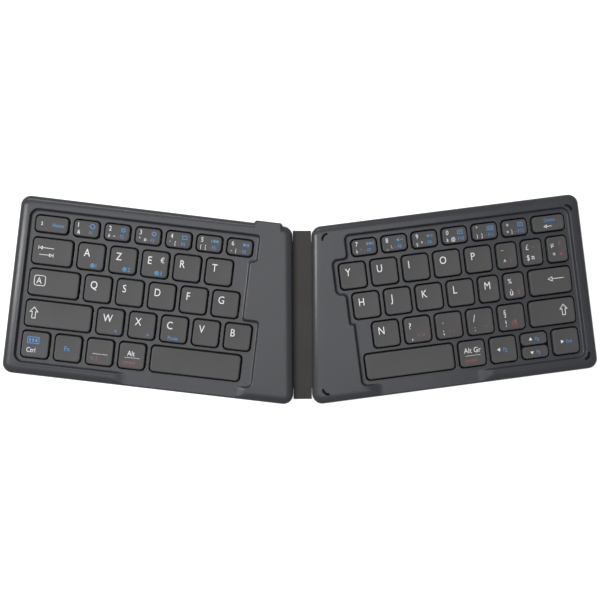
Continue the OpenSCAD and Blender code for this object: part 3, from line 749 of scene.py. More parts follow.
def cap_tree():
    """One key cap, centred, with its top edge at height 0, in millimetres."""
    t = Tree("key cap", {
        "Width": 13.0, "Depth": 13.0, "Corner": 1.75, "Edge": 0.55, "Dish": DISH,
        "Height": CAP_H, "Top": CAP_TOP, "Wall": CAP_WALL, "Material": None,
    })
    minus, times, power, most = (
        partial(t.math, kind) for kind in ("SUBTRACT", "MULTIPLY", "POWER", "MAXIMUM")
    )
    v_minus, v_times, v_least, v_plus = (
        partial(t.vector, kind) for kind in ("SUBTRACT", "MULTIPLY", "MINIMUM", "ADD")
    )
    corner, edge, height = (t.size(label) for label in ("Corner", "Edge", "Height"))
    half = t.scaled(t.triple(t.size("Width"), t.size("Depth")), 0.5)
    core = v_minus(half, t.triple(corner, corner))
    keep = minus(1.0, t.math("DIVIDE", t.size("Wall"), corner))

    def crowded(value):
        """Moves grid lines towards the edges: 1 - (1 - |x|) to a power."""
        rest = power(minus(1.0, t.math("ABSOLUTE", value)), 2.2)
        return times(t.math("SIGN", value), minus(1.0, rest))

    def drawn_in(point):
        """The parts of a plan point, moved in from the outline by the wall's thickness."""
        held = v_times(v_least(t.vector("ABSOLUTE", point), core), t.vector("SIGN", point))
        return t.parts(v_plus(held, t.scaled(v_minus(point, held), keep)))

    def pulled(mesh, selection, offset, scale=1.0):
        """The mesh with new faces pulled from its selected edges, and the new edges."""
        inputs = {"Mesh": mesh, "Selection": selection, "Offset": offset, "Offset Scale": scale}
        return t.add("GeometryNodeExtrudeMesh", inputs, mode="EDGES").outputs

    # The top: a flat grid bent to the outline, rolled over at its edge and dished
    grid = t.add("GeometryNodeMeshGrid", {"Size X": 2.0, "Size Y": 2.0, "Vertices X": 27, "Vertices Y": 27})
    x, y, _ = t.parts(t.add("GeometryNodeInputPosition").outputs[0])
    flat = v_times(t.triple(crowded(x), crowded(y)), half)
    size = t.vector("ABSOLUTE", flat)
    over = t.vector("MAXIMUM", v_minus(size, core), (0, 0, 0))
    ox, oy, _ = t.parts(over)
    widest = most(ox, oy)
    length = most(t.vector("LENGTH", over), 1e-6)
    bent = v_plus(v_least(size, core), t.scaled(over, t.math("DIVIDE", widest, length)))
    plan = v_times(bent, t.vector("SIGN", flat))
    lean = most(minus(edge, minus(corner, widest)), 0.0)
    inner = minus(power(edge, 2.0), power(lean, 2.0))
    roll = minus(t.math("SQRT", most(inner, 0.0)), edge)
    px, py, _ = t.parts(t.vector("DIVIDE", plan, half))
    bowl = times(times(minus(1.0, power(px, 2.0)), minus(1.0, power(py, 2.0))), t.size("Dish"))
    tx, ty, _ = t.parts(plan)
    top = t.moved(grid.outputs[0], t.triple(tx, ty, minus(roll, bowl)))
    # The skirt: the border goes down, in by the wall's thickness and up again
    borders = t.add("GeometryNodeInputMeshEdgeNeighbors").outputs[0]
    border = t.add("FunctionNodeCompare", {2: borders, 3: 1}, data_type="INT", operation="EQUAL").outputs[0]
    skirt = pulled(top, border, t.triple(0.0, 0.0, minus(edge, height)))
    inner_edge = pulled(skirt[0], skirt[1], (0, 0, 0), 0.0)
    nx, ny, nz = t.parts(t.add("GeometryNodeInputPosition").outputs[0])
    dx, dy, _ = drawn_in(t.triple(nx, ny))
    narrowed = t.moved(inner_edge[0], t.triple(dx, dy, nz), inner_edge[1])
    inner_wall = pulled(narrowed, inner_edge[1], t.triple(0.0, 0.0, minus(height, t.size("Top"))))
    lx, ly, _ = drawn_in(plan)
    lid = t.moved(grid.outputs[0], t.triple(lx, ly, times(t.size("Top"), -1.0)))
    both = t.add("GeometryNodeJoinGeometry")
    t.tree.links.new(inner_wall[0], both.inputs[0])
    t.tree.links.new(lid, both.inputs[0])
    merged = t.add("GeometryNodeMergeByDistance", {"Geometry": both.outputs[0], "Distance": 0.002})
    return t.finish(merged.outputs[0], t.size("Material"))


CAP_TREE = cap_tree()
print("cap tree:", len(CAP_TREE.nodes), "nodes")

# %% [markdown]
# Every cap is placed by its own frame: its middle, the direction of reading along the row,
# and the direction away from the user. The legends use the same frame later.

# %% Place the caps
def key_frame(side, box):
    """Middle of a key on the desk, and its right and rear directions."""
    middle = to_desk(side, (box[0] + box[2]) / 2, (box[1] + box[3]) / 2, CAP_Z)
    lean = TILT if side == "right" else -TILT
    right = Vector((math.cos(lean), math.sin(lean), 0))
    return middle, right, Vector((-right.y, right.x, 0))


def cap_size(box):
    """Width and depth of a cap in its cell. EASE more than the model's gap lets its dark ring show."""
    gap = CAP_CLEAR + 2 * EASE
    return box[2] - box[0] - gap, box[3] - box[1] - gap


def make_caps(body, side, boxes):
    """All the caps of one body, as one mesh."""
    copies = []
    for box in boxes:
        width, depth = cap_size(box)
        middle, right, rear = key_frame(side, box)
        turn = Matrix((right, rear, (0, 0, 1))).transposed().to_4x4()
        copies.append((CAP_TREE, {"Width": width, "Depth": depth}, Matrix.Translation(middle) @ turn))
    caps = pooled(f"cap_{body}", copies, FINISH["key_cap"])
    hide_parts(body)
    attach(caps, body)
    return caps


def named(names, side, row, first):
    """Keys in a row that have a body of their own."""
    return {f"key_{name}": (side, [cell(side, row, first + i)]) for i, name in enumerate(names)}


KEYS = {
    **named("azert", "left", 3, 1), **named("qsdfg", "left", 2, 1),
    **named(["left_shift", "w", "x", "c", "v", "b"], "left", 1, 0), **named(["left_space"], "left", 0, 4),
    **named("poiuy", "right", 3, 3), **named(["enter"], "right", 2, 0), **named("mlkjh", "right", 2, 2),
    **named(["right_shift"], "right", 1, 0), **named("n", "right", 1, 5),
    **named(["right_space"], "right", 0, 4),
    "number_keys_left": ("left", [cell("left", 4, i) for i in range(7)]),
    "side_keys_left": (
        "left", [cell("left", 3, 0), cell("left", 2, 0)] + [cell("left", 0, i) for i in range(4)],
    ),
    "number_keys_right": ("right", [cell("right", 4, i) for i in range(7)]),
    "symbol_keys_right": (
        "right",
        [cell("right", 3, i) for i in range(3)] + [cell("right", 2, 1)]
        + [cell("right", 1, i) for i in range(1, 5)] + [cell("right", 0, 3)],
    ),
    "arrow_keys_right": ("right", [cell("right", 0, 0), UP_CELL, DOWN_CELL, cell("right", 0, 2)]),
}
caps = [make_caps(body, side, boxes) for body, (side, boxes) in KEYS.items()]
print("caps:", len(caps), "faces in the first:", len(caps[0].data.polygons))

# %% [markdown]
# ## Key mechanisms
# Under each cap lie two crossed arms and a rubber dome, which fold flat as the key goes down.
# The model keeps all of a half's in one node. Its solids are dealt out here to the keys above
# them, one piece for each key.

# %% Deal out the mechanisms
DOME = moulded("dome rubber", (0.30, 0.30, 0.29), 0.45, 0.6, 0.004, 0.05, 0.4)
ARM_POINTS, SQUASH_ROOM = 16, 0.02


def above(side, point):
    """The body whose key has this point of the desk under it."""
    for body, (half, boxes) in KEYS.items():
        for box in boxes if half == side else ():
            middle, right, rear = key_frame(side, box)
            away = (point - middle) / MM
            if abs(away @ right) < (box[2] - box[0]) / 2 and abs(away @ rear) < (box[3] - box[1]) / 2:
                return body
    raise ValueError(f"no key above {point}")


def islands(work):
    """The faces of a mesh, in groups that share points."""
    left = set(work.faces)
    for face in work.faces:
        if face not in left:
            continue
        left.discard(face)
        group = [face]
        for each in group:
            for near in (f for point in each.verts for f in point.link_faces):
                if near in left:
                    left.discard(near)
                    group.append(near)
        yield group


def deal_out(side):
    """One piece for each key body of a half, with the arms and domes below its caps."""
    node = f"{side}_key_mechanisms"
    work = bmesh.new()
    work.from_mesh(frame["nodes"][node].data)
    bmesh.ops.remove_doubles(work, verts=work.verts, dist=1e-6)
    shares = {}
    for group in islands(work):
        points = {point for face in group for point in face.verts}
        middle = sum((point.co for point in points), Vector()) / len(points)
        place = {point: i for i, point in enumerate(points)}
        faces = [[place[point] for point in face.verts] for face in group]
        coords, sides, kinds = shares.setdefault(above(side, middle), ([], [], []))
        sides += [[len(coords) + i for i in face] for face in faces]
        kinds += [int(len(points) > ARM_POINTS)] * len(faces)
        coords += [point.co.copy() for point in points]
    work.free()
    for joint in frame["record"]["behaviour"]["joints"]:
        if joint["child"] not in shares:
            continue
        coords, sides, kinds = shares[joint["child"]]
        data = bpy.data.meshes.new(f"scissors_{joint['child']}")
        data.from_pydata(coords, [], sides)
        data.materials.append(FINISH["mechanism"])
        data.materials.append(DOME)
        data.polygons.foreach_set("material_index", kinds)
        piece = finished(data.name, data, None)
        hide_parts(node)
        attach(piece, f"{side}_half")
        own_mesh(piece)
    return shares


for side in SIDES:
    print("mechanisms dealt out:", side, {body: len(share[1]) for body, share in deal_out(side).items()})

# %% [markdown]
# ## Legends
# The legends are printed on the caps: white for the first sign, small blue and red ones for
# the second. Words come from Blender's own font, turned into flat triangles. Arrows and icons
# are strokes of even width. Every point is laid on the dish of its cap, a hair above it.
# A mark is placed in millimetres from the rear left corner of its key, x to the right and
# y towards the user, as it would be measured on the real key.

# %% Inks
INK = {
    "white": moulded("white ink", (0.5, 0.5, 0.5), 0.5, 0.15, 0.002, 0.06, 0.2),
    "blue": moulded("blue ink", (0.05, 0.16, 0.34), 0.5, 0.15, 0.002, 0.06, 0.2),
    "red": moulded("red ink", (0.19, 0.05, 0.046), 0.5, 0.15, 0.002, 0.06, 0.2),
}
CAPITAL = 0.682


# %% Words and strokes
def word(text, x, y, height, ink="white", wide=0.84):
    """A word whose capitals are height tall, with its top left corner at x, y."""
    curve = bpy.data.curves.new("word", "FONT")
    curve.body, curve.resolution_u = text, 3
    holder = linked("word", curve)
    data = plain_mesh(holder)
    bpy.data.objects.remove(holder)
    bpy.data.curves.remove(curve)
    k = height / CAPITAL
    left = min(v.co.x for v in data.vertices)
    points = [(x + (v.co.x - left) * k * wide, y + height - v.co.y * k) for v in data.vertices]
    faces = [tuple(face.vertices) for face in data.polygons]
    bpy.data.meshes.remove(data)
    return ink, points, faces


def stroke(path, width, ink="white", closed=False):
    """A line of even width through the points of a path, with mitred corners."""
    points = [Vector(p) for p in path]
    n = len(points)
    sides = []
    for i, p in enumerate(points):
        before = points[i - 1] if closed or i else None
        after = points[(i + 1) % n] if closed or i < n - 1 else None
        a = (p - before if before else after - p).normalized()
        b = (after - p).normalized() if after else a
        across = Vector((-a.y - b.y, a.x + b.x)).normalized()
        reach = width / 2 / max(across.dot(Vector((-a.y, a.x))), 0.4)
        sides += [tuple(p + across * reach), tuple(p - across * reach)]
    spans = range(n if closed else n - 1)
    faces = [(2 * i, 2 * i + 1, (2 * i + 3) % (2 * n), (2 * i + 2) % (2 * n)) for i in spans]
    return ink, sides, faces


def area(path, ink="white"):
    """A filled shape."""
    return ink, [tuple(p) for p in path], [tuple(range(len(path)))]


def block(x, y, width, height):
    """A filled blue rectangle with its top left corner at x, y."""
    return area([(x, y), (x + width, y), (x + width, y + height), (x, y + height)], "blue")


# %% Icons
def ring(x, y, r, ink="blue", width=0.35, count=20):
    """An outlined circle about x, y."""
    turns = [2 * math.pi * k / count for k in range(count)]
    return stroke([(x + r * math.cos(t), y + r * math.sin(t)) for t in turns], width, ink, True)


def box_mark(x, y, width, height, ink="white", line=0.3, corner=0.0):
    """An outlined rectangle, with its corners cut by corner."""
    cuts = ((corner, 0), (0.3 * corner, 0.3 * corner), (0, corner)) if corner else ((0, 0),)
    path = []
    for right, low in ((1, 0), (1, 1), (0, 1), (0, 0)):
        run = cuts if right != low else cuts[::-1]
        path += [(x + (width - a if right else a), y + (height - b if low else b)) for a, b in run]
    return stroke(path, line, ink, True)


def arrow(x, y, length, head=1.3, width=0.28, way=1, bar=False, ink="white"):
    """A long arrow with its tip at x, y and its tail at x + way * length, with an open head."""
    tip, neck = x, x + way * head
    marks = [
        stroke([(tip, y), (neck, y - head * 0.55), (neck, y + head * 0.55)], width, ink, True),
        stroke([(neck + way * width / 2, y), (x + way * length, y)], width, ink),
    ]
    if bar:
        edge = x - way * (width + 0.25)
        marks.append(stroke([(edge, y - head * 0.7), (edge, y + head * 0.7)], width, ink))
    return marks


def up_arrow(x, y, width=3.8, height=5.5, line=0.32):
    """A hollow upward arrow."""
    w, h, stem = width, height, width * 0.22
    path = [
        (w / 2, 0), (w, h * 0.42), (w / 2 + stem, h * 0.42), (w / 2 + stem, h),
        (w / 2 - stem, h), (w / 2 - stem, h * 0.42), (0, h * 0.42),
    ]
    return stroke([(x + a, y + b) for a, b in path], line, "white", True)


def triangle(x, y, size, turn=0, ink="white"):
    """A filled triangle about x, y that points right, turned by degrees."""
    corners = [math.radians(turn + 120 * k) for k in range(3)]
    return area([(x + size * 0.62 * math.cos(t), y + size * 0.62 * math.sin(t)) for t in corners], ink)


def icon(kind, x, y):
    """A small blue icon about x, y, 3 mm wide at most."""
    def line(x0, y0, x1, y1, width=0.3):
        return stroke([(x + x0, y + y0), (x + x1, y + y1)], width, "blue")

    def heads(turn, size, *places):
        return [triangle(x + place, y, size, turn, "blue") for place in places]

    if kind == "ring":
        return [ring(x, y, 1.05), line(-1.9, 0, -1.3, 0)]
    if kind == "gear":
        ways = [(math.cos(math.pi * k / 4), math.sin(math.pi * k / 4)) for k in range(8)]
        return [ring(x, y, 0.75, width=0.3)] + [line(a, b, 1.35 * a, 1.35 * b) for a, b in ways]
    if kind == "square":
        return [box_mark(x - 1.1, y - 0.8, 2.2, 1.6, "blue", 0.28)]
    if kind == "back":
        return heads(180, 1.6, 1.0, -0.5) + [line(-1.8, -0.8, -1.8, 0.8)]
    if kind == "play":
        return heads(0, 1.8, -0.7) + [line(a, -0.8, a, 0.8, 0.35) for a in (0.7, 1.4)]
    if kind == "next":
        return heads(0, 1.6, -1.0, 0.5) + [line(1.8, -0.8, 1.8, 0.8)]
    if kind in ("softer", "louder"):
        cone = ((-1.6, -0.4), (-1.0, -0.4), (-0.3, -1.0), (-0.3, 1.0), (-1.0, 0.4), (-1.6, 0.4))
        marks = [area([(x + a, y + b) for a, b in cone], "blue"), line(0.3, 0, 1.6, 0)]
        return marks + [line(0.95, a, 0.95, a + 0.48) for a in (-0.65, 0.17)] * (kind == "louder")
    if kind == "keys":
        dots = [block(x + a, y + b, 0.45, 0.4) for a in (-1.05, -0.2, 0.65) for b in (-0.5, 0.2)]
        return [box_mark(x - 1.5, y - 0.9, 3.0, 1.9, "blue", 0.28), *dots]
    return [box_mark(x - 1.2, y - 0.9, 2.4, 1.8, "blue"), line(-0.7, 0, 0.7, 0)]


# %% What each key says
def letter(text):
    """A letter key: one large sign."""
    return [word(text, 3.1, 3.0, 3.7)]


def number(digit, sign, extra, kind, label):
    """A number key: the digit over its sign, an icon at the right and a small label under it."""
    marks = [word(digit, 2.2, 1.4, 2.3), word(sign, 2.1, 5.1, 1.9)]
    if extra:
        marks += [word(extra, 4.5, 5.1, 1.8), stroke([(6.4, 6.3), (7.2, 6.3)], 0.35, "red")]
    return marks + icon(kind, 9.3, 2.8) + [word(label, 8.0, 5.3, 1.7, "blue")]


def below_line(text):
    """A thin white line with a small red word under it."""
    return [stroke([(3.2, 7.6), (10.8, 7.6)], 0.16), word(text, 2.6, 9.0, 1.8, "red")]


LEGENDS = {side: {} for side in SIDES}
for i, text in enumerate(["AZERT", "QSDFG", "WXCVB"]):
    for k, sign in enumerate(text):
        LEGENDS["left"][cell("left", 3 - i, 1 + k)] = letter(sign)
for row, places, text in ((3, range(7, 2, -1), "YUIOP"), (2, range(6, 1, -1), "HJKLM"), (1, (5,), "N")):
    for i, sign in zip(places, text):
        LEGENDS["right"][cell("right", row, i)] = letter(sign)

LEFT_NUMBERS = [
    ("1", "&", "", "ring", "F1"), ("2", "é", "~", "gear", "F2"), ("3", '"', "#", "gear", "F3"),
    ("4", "'", "{", "square", "F4"), ("5", "(", "[", "back", "F5"), ("6", "-", "|", "play", "F6"),
]
RIGHT_NUMBERS = [
    ("7", "è", "`", "next", "F7"), ("8", "_", "\\", "softer", "F8"), ("9", "ç", "^", "louder", "F9"),
    ("0", "à", "@", "block", "F10"), ("°", ")", "]", "keys", "F11"), ("+", "=", "}", "block", "F12"),
]
for k in range(6):
    LEGENDS["left"][cell("left", 4, 1 + k)] = number(*LEFT_NUMBERS[k])
    LEGENDS["right"][cell("right", 4, 6 - k)] = number(*RIGHT_NUMBERS[k])

# %% The other keys
for k, sign in enumerate("123"):
    rings = [ring(8.0, 10.9, 0.85, width=0.45), ring(8.0, 10.9, 0.3, width=0.3)]
    LEGENDS["left"][cell("left", 3, 1 + k)] += rings + [word(sign, 9.6, 9.9, 2.1, "blue")]
ADDED = {(3, 3): ("€", 9.3, 3.0, 2.6), (1, 3): ("Pause", 4.2, 10.1, 1.8, "blue")}
ADDED |= {(1, 1): ("<", 9.4, 9.9, 2.1, "blue"), (1, 2): (">", 9.4, 9.9, 2.1, "blue")}
for place, mark in ADDED.items():
    LEGENDS["left"][cell("left", *place)] += [word(*mark)]

# Words of the keys that hold nothing else, each with its place, height and ink
WORDS = {
    ("left", 4, 0): [("²", 2.9, 3.4, 3.0), ("~", 5.0, 5.4, 1.6, "red"), ("Home", 8.6, 3.4, 1.9, "blue")],
    ("left", 0, 1): [("Fn", 5.1, 5.6, 2.5, "blue")],
    ("right", 3, 2): [("¨", 2.6, 3.4, 3.2), ("^", 3.2, 8.4, 2.6), ("}", 6.6, 8.0, 2.0, "red")],
    ("right", 3, 1): [
        ("£", 2.2, 2.6, 2.5), ("•", 5.6, 3.0, 2.2, "red"), ("$", 2.2, 7.8, 2.6),
        ("¤", 4.6, 8.1, 2.6), ("-", 7.6, 8.1, 2.2, "red"),
    ],
    ("right", 3, 0): [
        ("µ", 2.2, 2.6, 2.6), ("E", 6.2, 2.8, 2.1, "red"), ("*", 2.6, 8.2, 2.8), ("×", 6.2, 7.8, 2.8, "red"),
    ],
    ("right", 2, 1): [("%", 2.2, 2.9, 2.4), ("ù", 2.6, 8.0, 3.3), ("ù", 6.4, 8.2, 2.7, "red")],
    ("right", 1, 4): [
        ("?", 2.6, 3.0, 3.0, "white", 1.15), (",", 3.4, 8.6, 2.9), ("«  »", 6.6, 8.4, 1.9, "red"),
    ],
    ("right", 1, 3): [(".", 3.6, 2.6, 2.7), (";", 3.5, 8.0, 2.9), ("‹  ›", 6.6, 8.4, 1.9, "red")],
    ("right", 1, 2): [("/", 3.2, 3.0, 3.6), (":", 3.5, 8.4, 2.8), ("¬", 8.6, 8.4, 2.0, "red")],
    ("right", 1, 1): [
        ("§", 3.0, 2.6, 2.9), ("!", 3.4, 7.9, 3.2), ("¡", 8.2, 3.0, 2.0, "red"), ("±¶", 6.4, 8.2, 2.2, "red"),
    ],
}
for (side, *place), marks in WORDS.items():
    LEGENDS[side][cell(side, *place)] = [word(*mark) for mark in marks]
LEGENDS["left"].update({
    cell("left", 3, 0): arrow(3.7, 5.0, 7.0, bar=True) + arrow(10.1, 8.4, 6.4, way=-1, bar=True),
    cell("left", 2, 0): [box_mark(2.9, 3.3, 5.4, 5.0, corner=0.9), word("A", 3.95, 4.2, 3.1)],
    cell("left", 1, 0): [up_arrow(2.6, 3.6)],
    cell("left", 0, 0): [
        box_mark(3.0, 2.9, 5.6, 3.1, "blue", 0.35), *[block(a, 3.6, 0.9, 1.7) for a in (3.7, 5.3, 6.9)],
        word("Ctrl", 2.9, 8.2, 2.3),
    ],
    cell("left", 0, 2): below_line("fn 2"),
    cell("left", 0, 3): [word("Alt", 4.4, 4.2, 2.5), *below_line("symbol")],
})
LEGENDS["right"].update({
    cell("right", 4, 0): [word("Delete", 6.3, 1.7, 1.7, "blue"), *arrow(6.0, 5.7, 4.0, 1.2)],
    cell("right", 2, 0): arrow(9.8, 5.6, 8.0, 2.0, 0.3),
    cell("right", 1, 0): [up_arrow(15.8, 3.5, 3.5, 5.3)],
    cell("right", 0, 3): [word("Alt Gr", 2.6, 3.6, 2.6, wide=0.86), *below_line("symbol")],
    cell("right", 0, 2): [triangle(4.5, 6.5, 1.7, 180), word("Pg", 6.6, 5.7, 1.9, "blue")],
    UP_CELL: [triangle(5.0, 3.4, 1.7, -90), word("Pg", 7.4, 2.5, 1.7, "blue")],
    DOWN_CELL: [triangle(5.0, 3.4, 1.7, 90), word("Pg", 7.4, 2.5, 1.7, "blue")],
    cell("right", 0, 0): [triangle(4.8, 6.6, 1.7), word("End", 6.9, 5.8, 1.7, "blue")],
})
print("keys with a legend:", {side: len(keys) for side, keys in LEGENDS.items()})


# %% Lay the marks on their caps
LIFT = 0.018


def lay(side, box, points):
    """Key points, from the rear left corner, onto the dished cap on the desk."""
    middle, right, rear = key_frame(side, box)
    width, depth = cap_size(box)
    laid = []
    for x, y in points:
        px, py = x - (box[2] - box[0]) / 2, (box[3] - box[1]) / 2 - y
        bowl = DISH * (1 - (2 * px / width) ** 2) * (1 - (2 * py / depth) ** 2)
        laid.append(middle + (right * px + rear * py + Vector((0, 0, LIFT - bowl))) * MM)
    return laid


def print_legends(body, side, boxes):
    """All the marks of one body as one flat mesh, one material for each ink."""
    inks = list(INK)
    points, faces, kinds = [], [], []
    for box in boxes:
        for ink, shape, sides in LEGENDS[side].get(box, []):
            first = len(points)
            points += lay(side, box, shape)
            faces += [tuple(first + i for i in face) for face in sides]
            kinds += [inks.index(ink)] * len(sides)
    if not faces:
        return None
    data = bpy.data.meshes.new(f"legend_{body}")
    data.from_pydata(points, [], faces)
    for ink in inks:
        data.materials.append(INK[ink])
    data.polygons.foreach_set("material_index", kinds)
    work = bmesh.new()
    work.from_mesh(data)
    for face in work.faces:
        face.normal_update()
        if face.normal.z < 0:
            face.normal_flip()
    work.to_mesh(data)
    work.free()
    legend = linked(data.name, data)
    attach(legend, body)
    return legend


legends = [print_legends(body, side, boxes) for body, (side, boxes) in KEYS.items()]
legends = [legend for legend in legends if legend]
print("legends:", len(legends), "faces:", sum(len(legend.data.polygons) for legend in legends))

# %% [markdown]
# ## The corner bumpers
# Four soft crescents stand a little above the right half's rim and keep the two halves apart
# when it is shut. Each is an arc swept with a round section that thins towards its ends, so
# a Geometry Nodes tree sweeps one and the four places reuse it.

# %% Crescent tree
def crescent_tree():
    """One crescent about its arc's centre, in millimetres."""
    t = Tree("crescent", {"Radius": 2.7, "Sweep": 105.0, "Width": 1.1, "Thin": 0.8, "Material": None})
    turn = t.math("RADIANS", t.size("Sweep"))
    arc = {"Resolution": 25, "Radius": t.size("Radius"), "Sweep Angle": turn}
    line = t.add("GeometryNodeCurveArc", arc, mode="RADIUS")
    factor = t.add("GeometryNodeSplineParameter").outputs["Factor"]
    off_middle = t.math("ABSOLUTE", t.math("SUBTRACT", t.math("MULTIPLY", factor, 2.0), 1.0))
    drop = t.math("MULTIPLY", t.math("POWER", off_middle, 3.0), t.math("SUBTRACT", 1.0, t.size("Thin")))
    thick = t.math("MULTIPLY", t.math("SUBTRACT", 1.0, drop), t.math("MULTIPLY", t.size("Width"), 0.5))
    shaped = t.add("GeometryNodeSetCurveRadius", {"Curve": line.outputs[0], "Radius": thick})
    section = t.add("GeometryNodeCurvePrimitiveCircle", {"Resolution": 16, "Radius": 1.0}, mode="RADIUS")
    curves = {"Curve": shaped.outputs[0], "Profile Curve": section.outputs[0], "Fill Caps": True}
    swept = t.add("GeometryNodeCurveToMesh", curves)
    if "Scale" in swept.inputs:
        t.tree.links.new(thick, swept.inputs["Scale"])
    return t.finish(swept.outputs[0], t.size("Material"))


CRESCENT = crescent_tree()

# %% Place the crescents
BUMPER_W, BUMPER_UP = 1.6, 0.3
BUMPER_IN, BUMPER_SIDE, BUMPER_END = 3.0, 4.2, 4.3
BUMPER_U, BUMPER_V = REACH - BUMPER_IN - BUMPER_SIDE, REAR - BUMPER_IN - BUMPER_END


def inner_bumper_u(v):
    """The u of a bumper beside the fold."""
    return along(EDGE_X + BUMPER_IN + BUMPER_END, v)


BUMPERS = [
    (BUMPER_U, BUMPER_V - 0.8, -7), (BUMPER_U, -BUMPER_V + 0.5, -87),
    (inner_bumper_u(-BUMPER_V) + 0.7, -BUMPER_V, 172), (inner_bumper_u(BUMPER_V) + 0.7, BUMPER_V + 0.2, 84),
]


def place_bumpers():
    """The four crescents of the right half as one mesh."""
    copies = []
    for u, v, turn in BUMPERS:
        at = to_desk("right", u, v, RIM_Z + BUMPER_UP - BUMPER_W / 2)
        spin = Matrix.Rotation(TILT + math.radians(turn), 4, "Z")
        copies.append((CRESCENT, {"Width": BUMPER_W}, Matrix.Translation(at) @ spin))
    bumpers = pooled("corner_bumpers", copies, FINISH["rubber"])
    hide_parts("right_corner_bumpers")
    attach(bumpers, "right_half")
    return bumpers


print("bumpers:", len(place_bumpers().data.polygons), "faces")

# %% [markdown]
# ## The strap and the ribbon cable
# The strap is one soft strip with a fold line beside each half. It is made in two pieces
# that meet in the middle, because each piece can bend between two bodies only. Stations lie
# close together at the fold lines. Stations close together at the fold lines let the bend
# come out round.

# %% Soft strips
def strip(name, sections, material, radius):
    """A strip along X. Each section is x, low y, high y, low z, high z, with rounded long edges."""
    steps = 4
    rings = []
    for x, y0, y1, z0, z1 in sections:
        r = min(radius, (z1 - z0) / 2)
        ring = []
        middles = ((y1 - r, z1 - r), (y0 + r, z1 - r), (y0 + r, z0 + r), (y1 - r, z0 + r))
        for quarter, (cy, cz) in enumerate(middles):
            for k in range(steps + 1):
                turn = math.radians(90 * quarter + 90 * k / steps)
                ring.append(Vector((x, cy + r * math.cos(turn), cz + r * math.sin(turn))) * MM)
        rings.append(ring)
    n = len(rings[0])
    faces = [
        (i * n + k, i * n + (k + 1) % n, (i + 1) * n + (k + 1) % n, (i + 1) * n + k)
        for i in range(len(rings) - 1) for k in range(n)
    ]
    faces += [tuple(range(n)), tuple(range(len(rings) * n - 1, len(rings) * n - n - 1, -1))]
    data = bpy.data.meshes.new(name)
    data.from_pydata([p for ring in rings for p in ring], [], faces)
    return finished(name, data, material, SOFT_CREASE)


def span(node):
    """A node's box in millimetres: low x, high x, low y, high y, low z, high z."""
    low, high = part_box(node)
    return [c / MM for pair in zip(low, high) for c in pair]


FOLD_X = 4.5
BEND_IN, BEND_OUT = 1.2, 0.3
NECK_X, FLAP_XS = 4.65, (4.7, 4.8, 6.5)
middle_box, flap_box, ribbon_box = span("hinge_strap"), span("hinge_strap_right_flap"), span("ribbon_cable")
tight = [FOLD_X - BEND_IN + 0.1 * i for i in range(int(round((BEND_IN + BEND_OUT) / 0.1)) + 1)]
strap_xs = [0.0, 1.0, 2.0] + [x for x in tight if x < NECK_X]


def strap_sections(sign):
    """The strap from the middle outwards on one side."""
    wide = [(sign * x, *middle_box[2:]) for x in strap_xs]
    narrow = [(sign * x, *flap_box[2:]) for x in (*FLAP_XS, flap_box[1])]
    return wide + narrow


def ribbon_sections(sign, end):
    """The ribbon cable from the middle outwards on one side."""
    xs = [0.0, 1.0, 2.0] + tight + [6.5, end]
    return [(sign * x, *ribbon_box[2:]) for x in xs]


def bend(piece, sign, *nodes):
    """Hides the model's nodes that the piece replaces and bakes its place into its mesh."""
    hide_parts(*nodes)
    inner, outer = (sign * (FOLD_X - BEND_IN) * MM, 0, 0), (sign * (FOLD_X + BEND_OUT) * MM, 0, 0)
    if sign < 0:
        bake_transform(piece)
        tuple(outer)
        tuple(inner)
    else:
        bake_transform(piece)
        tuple(inner)
        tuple(outer)


for sign, side in ((-1, "left"), (1, "right")):
    strap = strip(f"strap_{side}", strap_sections(sign), FINISH["strap"], 0.35)
    bend(strap, sign, "hinge_strap", f"hinge_strap_{side}_flap")
    end = -ribbon_box[0] if sign < 0 else ribbon_box[1]
    ribbon = strip(f"ribbon_{side}", ribbon_sections(sign, end), FINISH["ribbon"], 0.05)
    bend(ribbon, sign, "ribbon_cable")
print("strap width", round(2 * FOLD_X, 2), "mm")

# %% [markdown]
# ## Light and ground
# The photograph is lit from the left and a little from the rear: edges that face left are
# bright, and the keys are dark along their lower right sides. A large softbox above gives
# the sheen, a strip at the left the bright edges and a strip at the rear the far edges. The
# ground stays white to the camera and in reflections, and still takes the shadow.

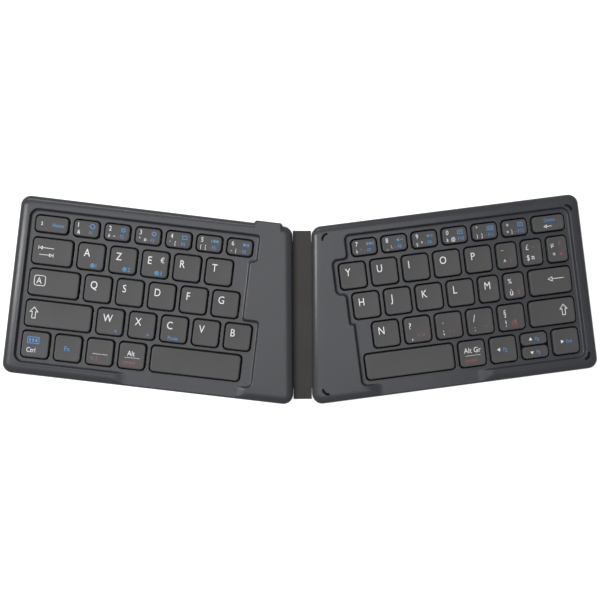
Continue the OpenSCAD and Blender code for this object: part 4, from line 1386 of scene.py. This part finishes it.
# %% Floor and world
def seen_white(tree, other, white):
    """white for camera, glossy and transmission rays, other for the rest."""
    path = tree.nodes.new("ShaderNodeLightPath")
    value = path.outputs["Is Camera Ray"]
    for label in ("Is Glossy Ray", "Is Transmission Ray"):
        either = tree.nodes.new("ShaderNodeMath")
        either.operation = "MAXIMUM"
        tree.links.new(value, either.inputs[0])
        tree.links.new(path.outputs[label], either.inputs[1])
        value = either.outputs[0]
    return spread(tree, value, 0, 1, other, white)


FLOOR_LIFT, FLOOR_REACH = 0.85, 1.5


def floor_sheet():
    """A wide white floor."""
    data = bpy.data.meshes.new("floor")
    corners = [(x * FLOOR_REACH, y * FLOOR_REACH, 0) for x, y in ((-1, -1), (1, -1), (1, 1), (-1, 1))]
    data.from_pydata(corners, [], [(0, 1, 2, 3)])
    floor = linked("floor", data)
    material, tree, shader = new_material("floor white")
    shader.inputs["Base Color"].default_value = (0.3, 0.3, 0.3, 1)
    shader.inputs["Roughness"].default_value = 0.9
    shader.inputs["Emission Color"].default_value = (1, 1, 1, 1)
    tree.links.new(seen_white(tree, 0, FLOOR_LIFT), shader.inputs["Emission Strength"])
    data.materials.append(material)


def white_world(level):
    """White to the camera and in reflections, level as a light."""
    world = bpy.data.worlds.new("world")
    bpy.context.scene.world = world
    world.use_nodes = True
    tree = world.node_tree
    back = tree.nodes["Background"]
    back.inputs["Color"].default_value = (1, 1, 1, 1)
    tree.links.new(seen_white(tree, level, 1), back.inputs["Strength"])


floor_sheet()
white_world(0.1)

# %% Lamps
def lamp(name, place, size, power, target=(0, 0, 0)):
    """A soft rectangular lamp that looks at target."""
    data = bpy.data.lights.new(name, "AREA")
    data.shape = "RECTANGLE"
    data.size, data.size_y = size
    data.energy = power
    thing = linked(name, data)
    look = (Vector(target) - Vector(place)).to_track_quat("-Z", "Y")
    thing.matrix_world = Matrix.Translation(place) @ look.to_matrix().to_4x4()


lamp("softbox", (-0.08, 0.1, 1.1), (0.68, 0.7), 8.5, (-0.08, 0.1, 0))
lamp("left strip", (-0.75, 0.1, 0.92), (0.14, 0.5), 12.5)
lamp("rear strip", (-0.35, 0.85, 0.65), (0.5, 0.12), 5)
bpy.context.scene.view_settings.view_transform = "Standard"
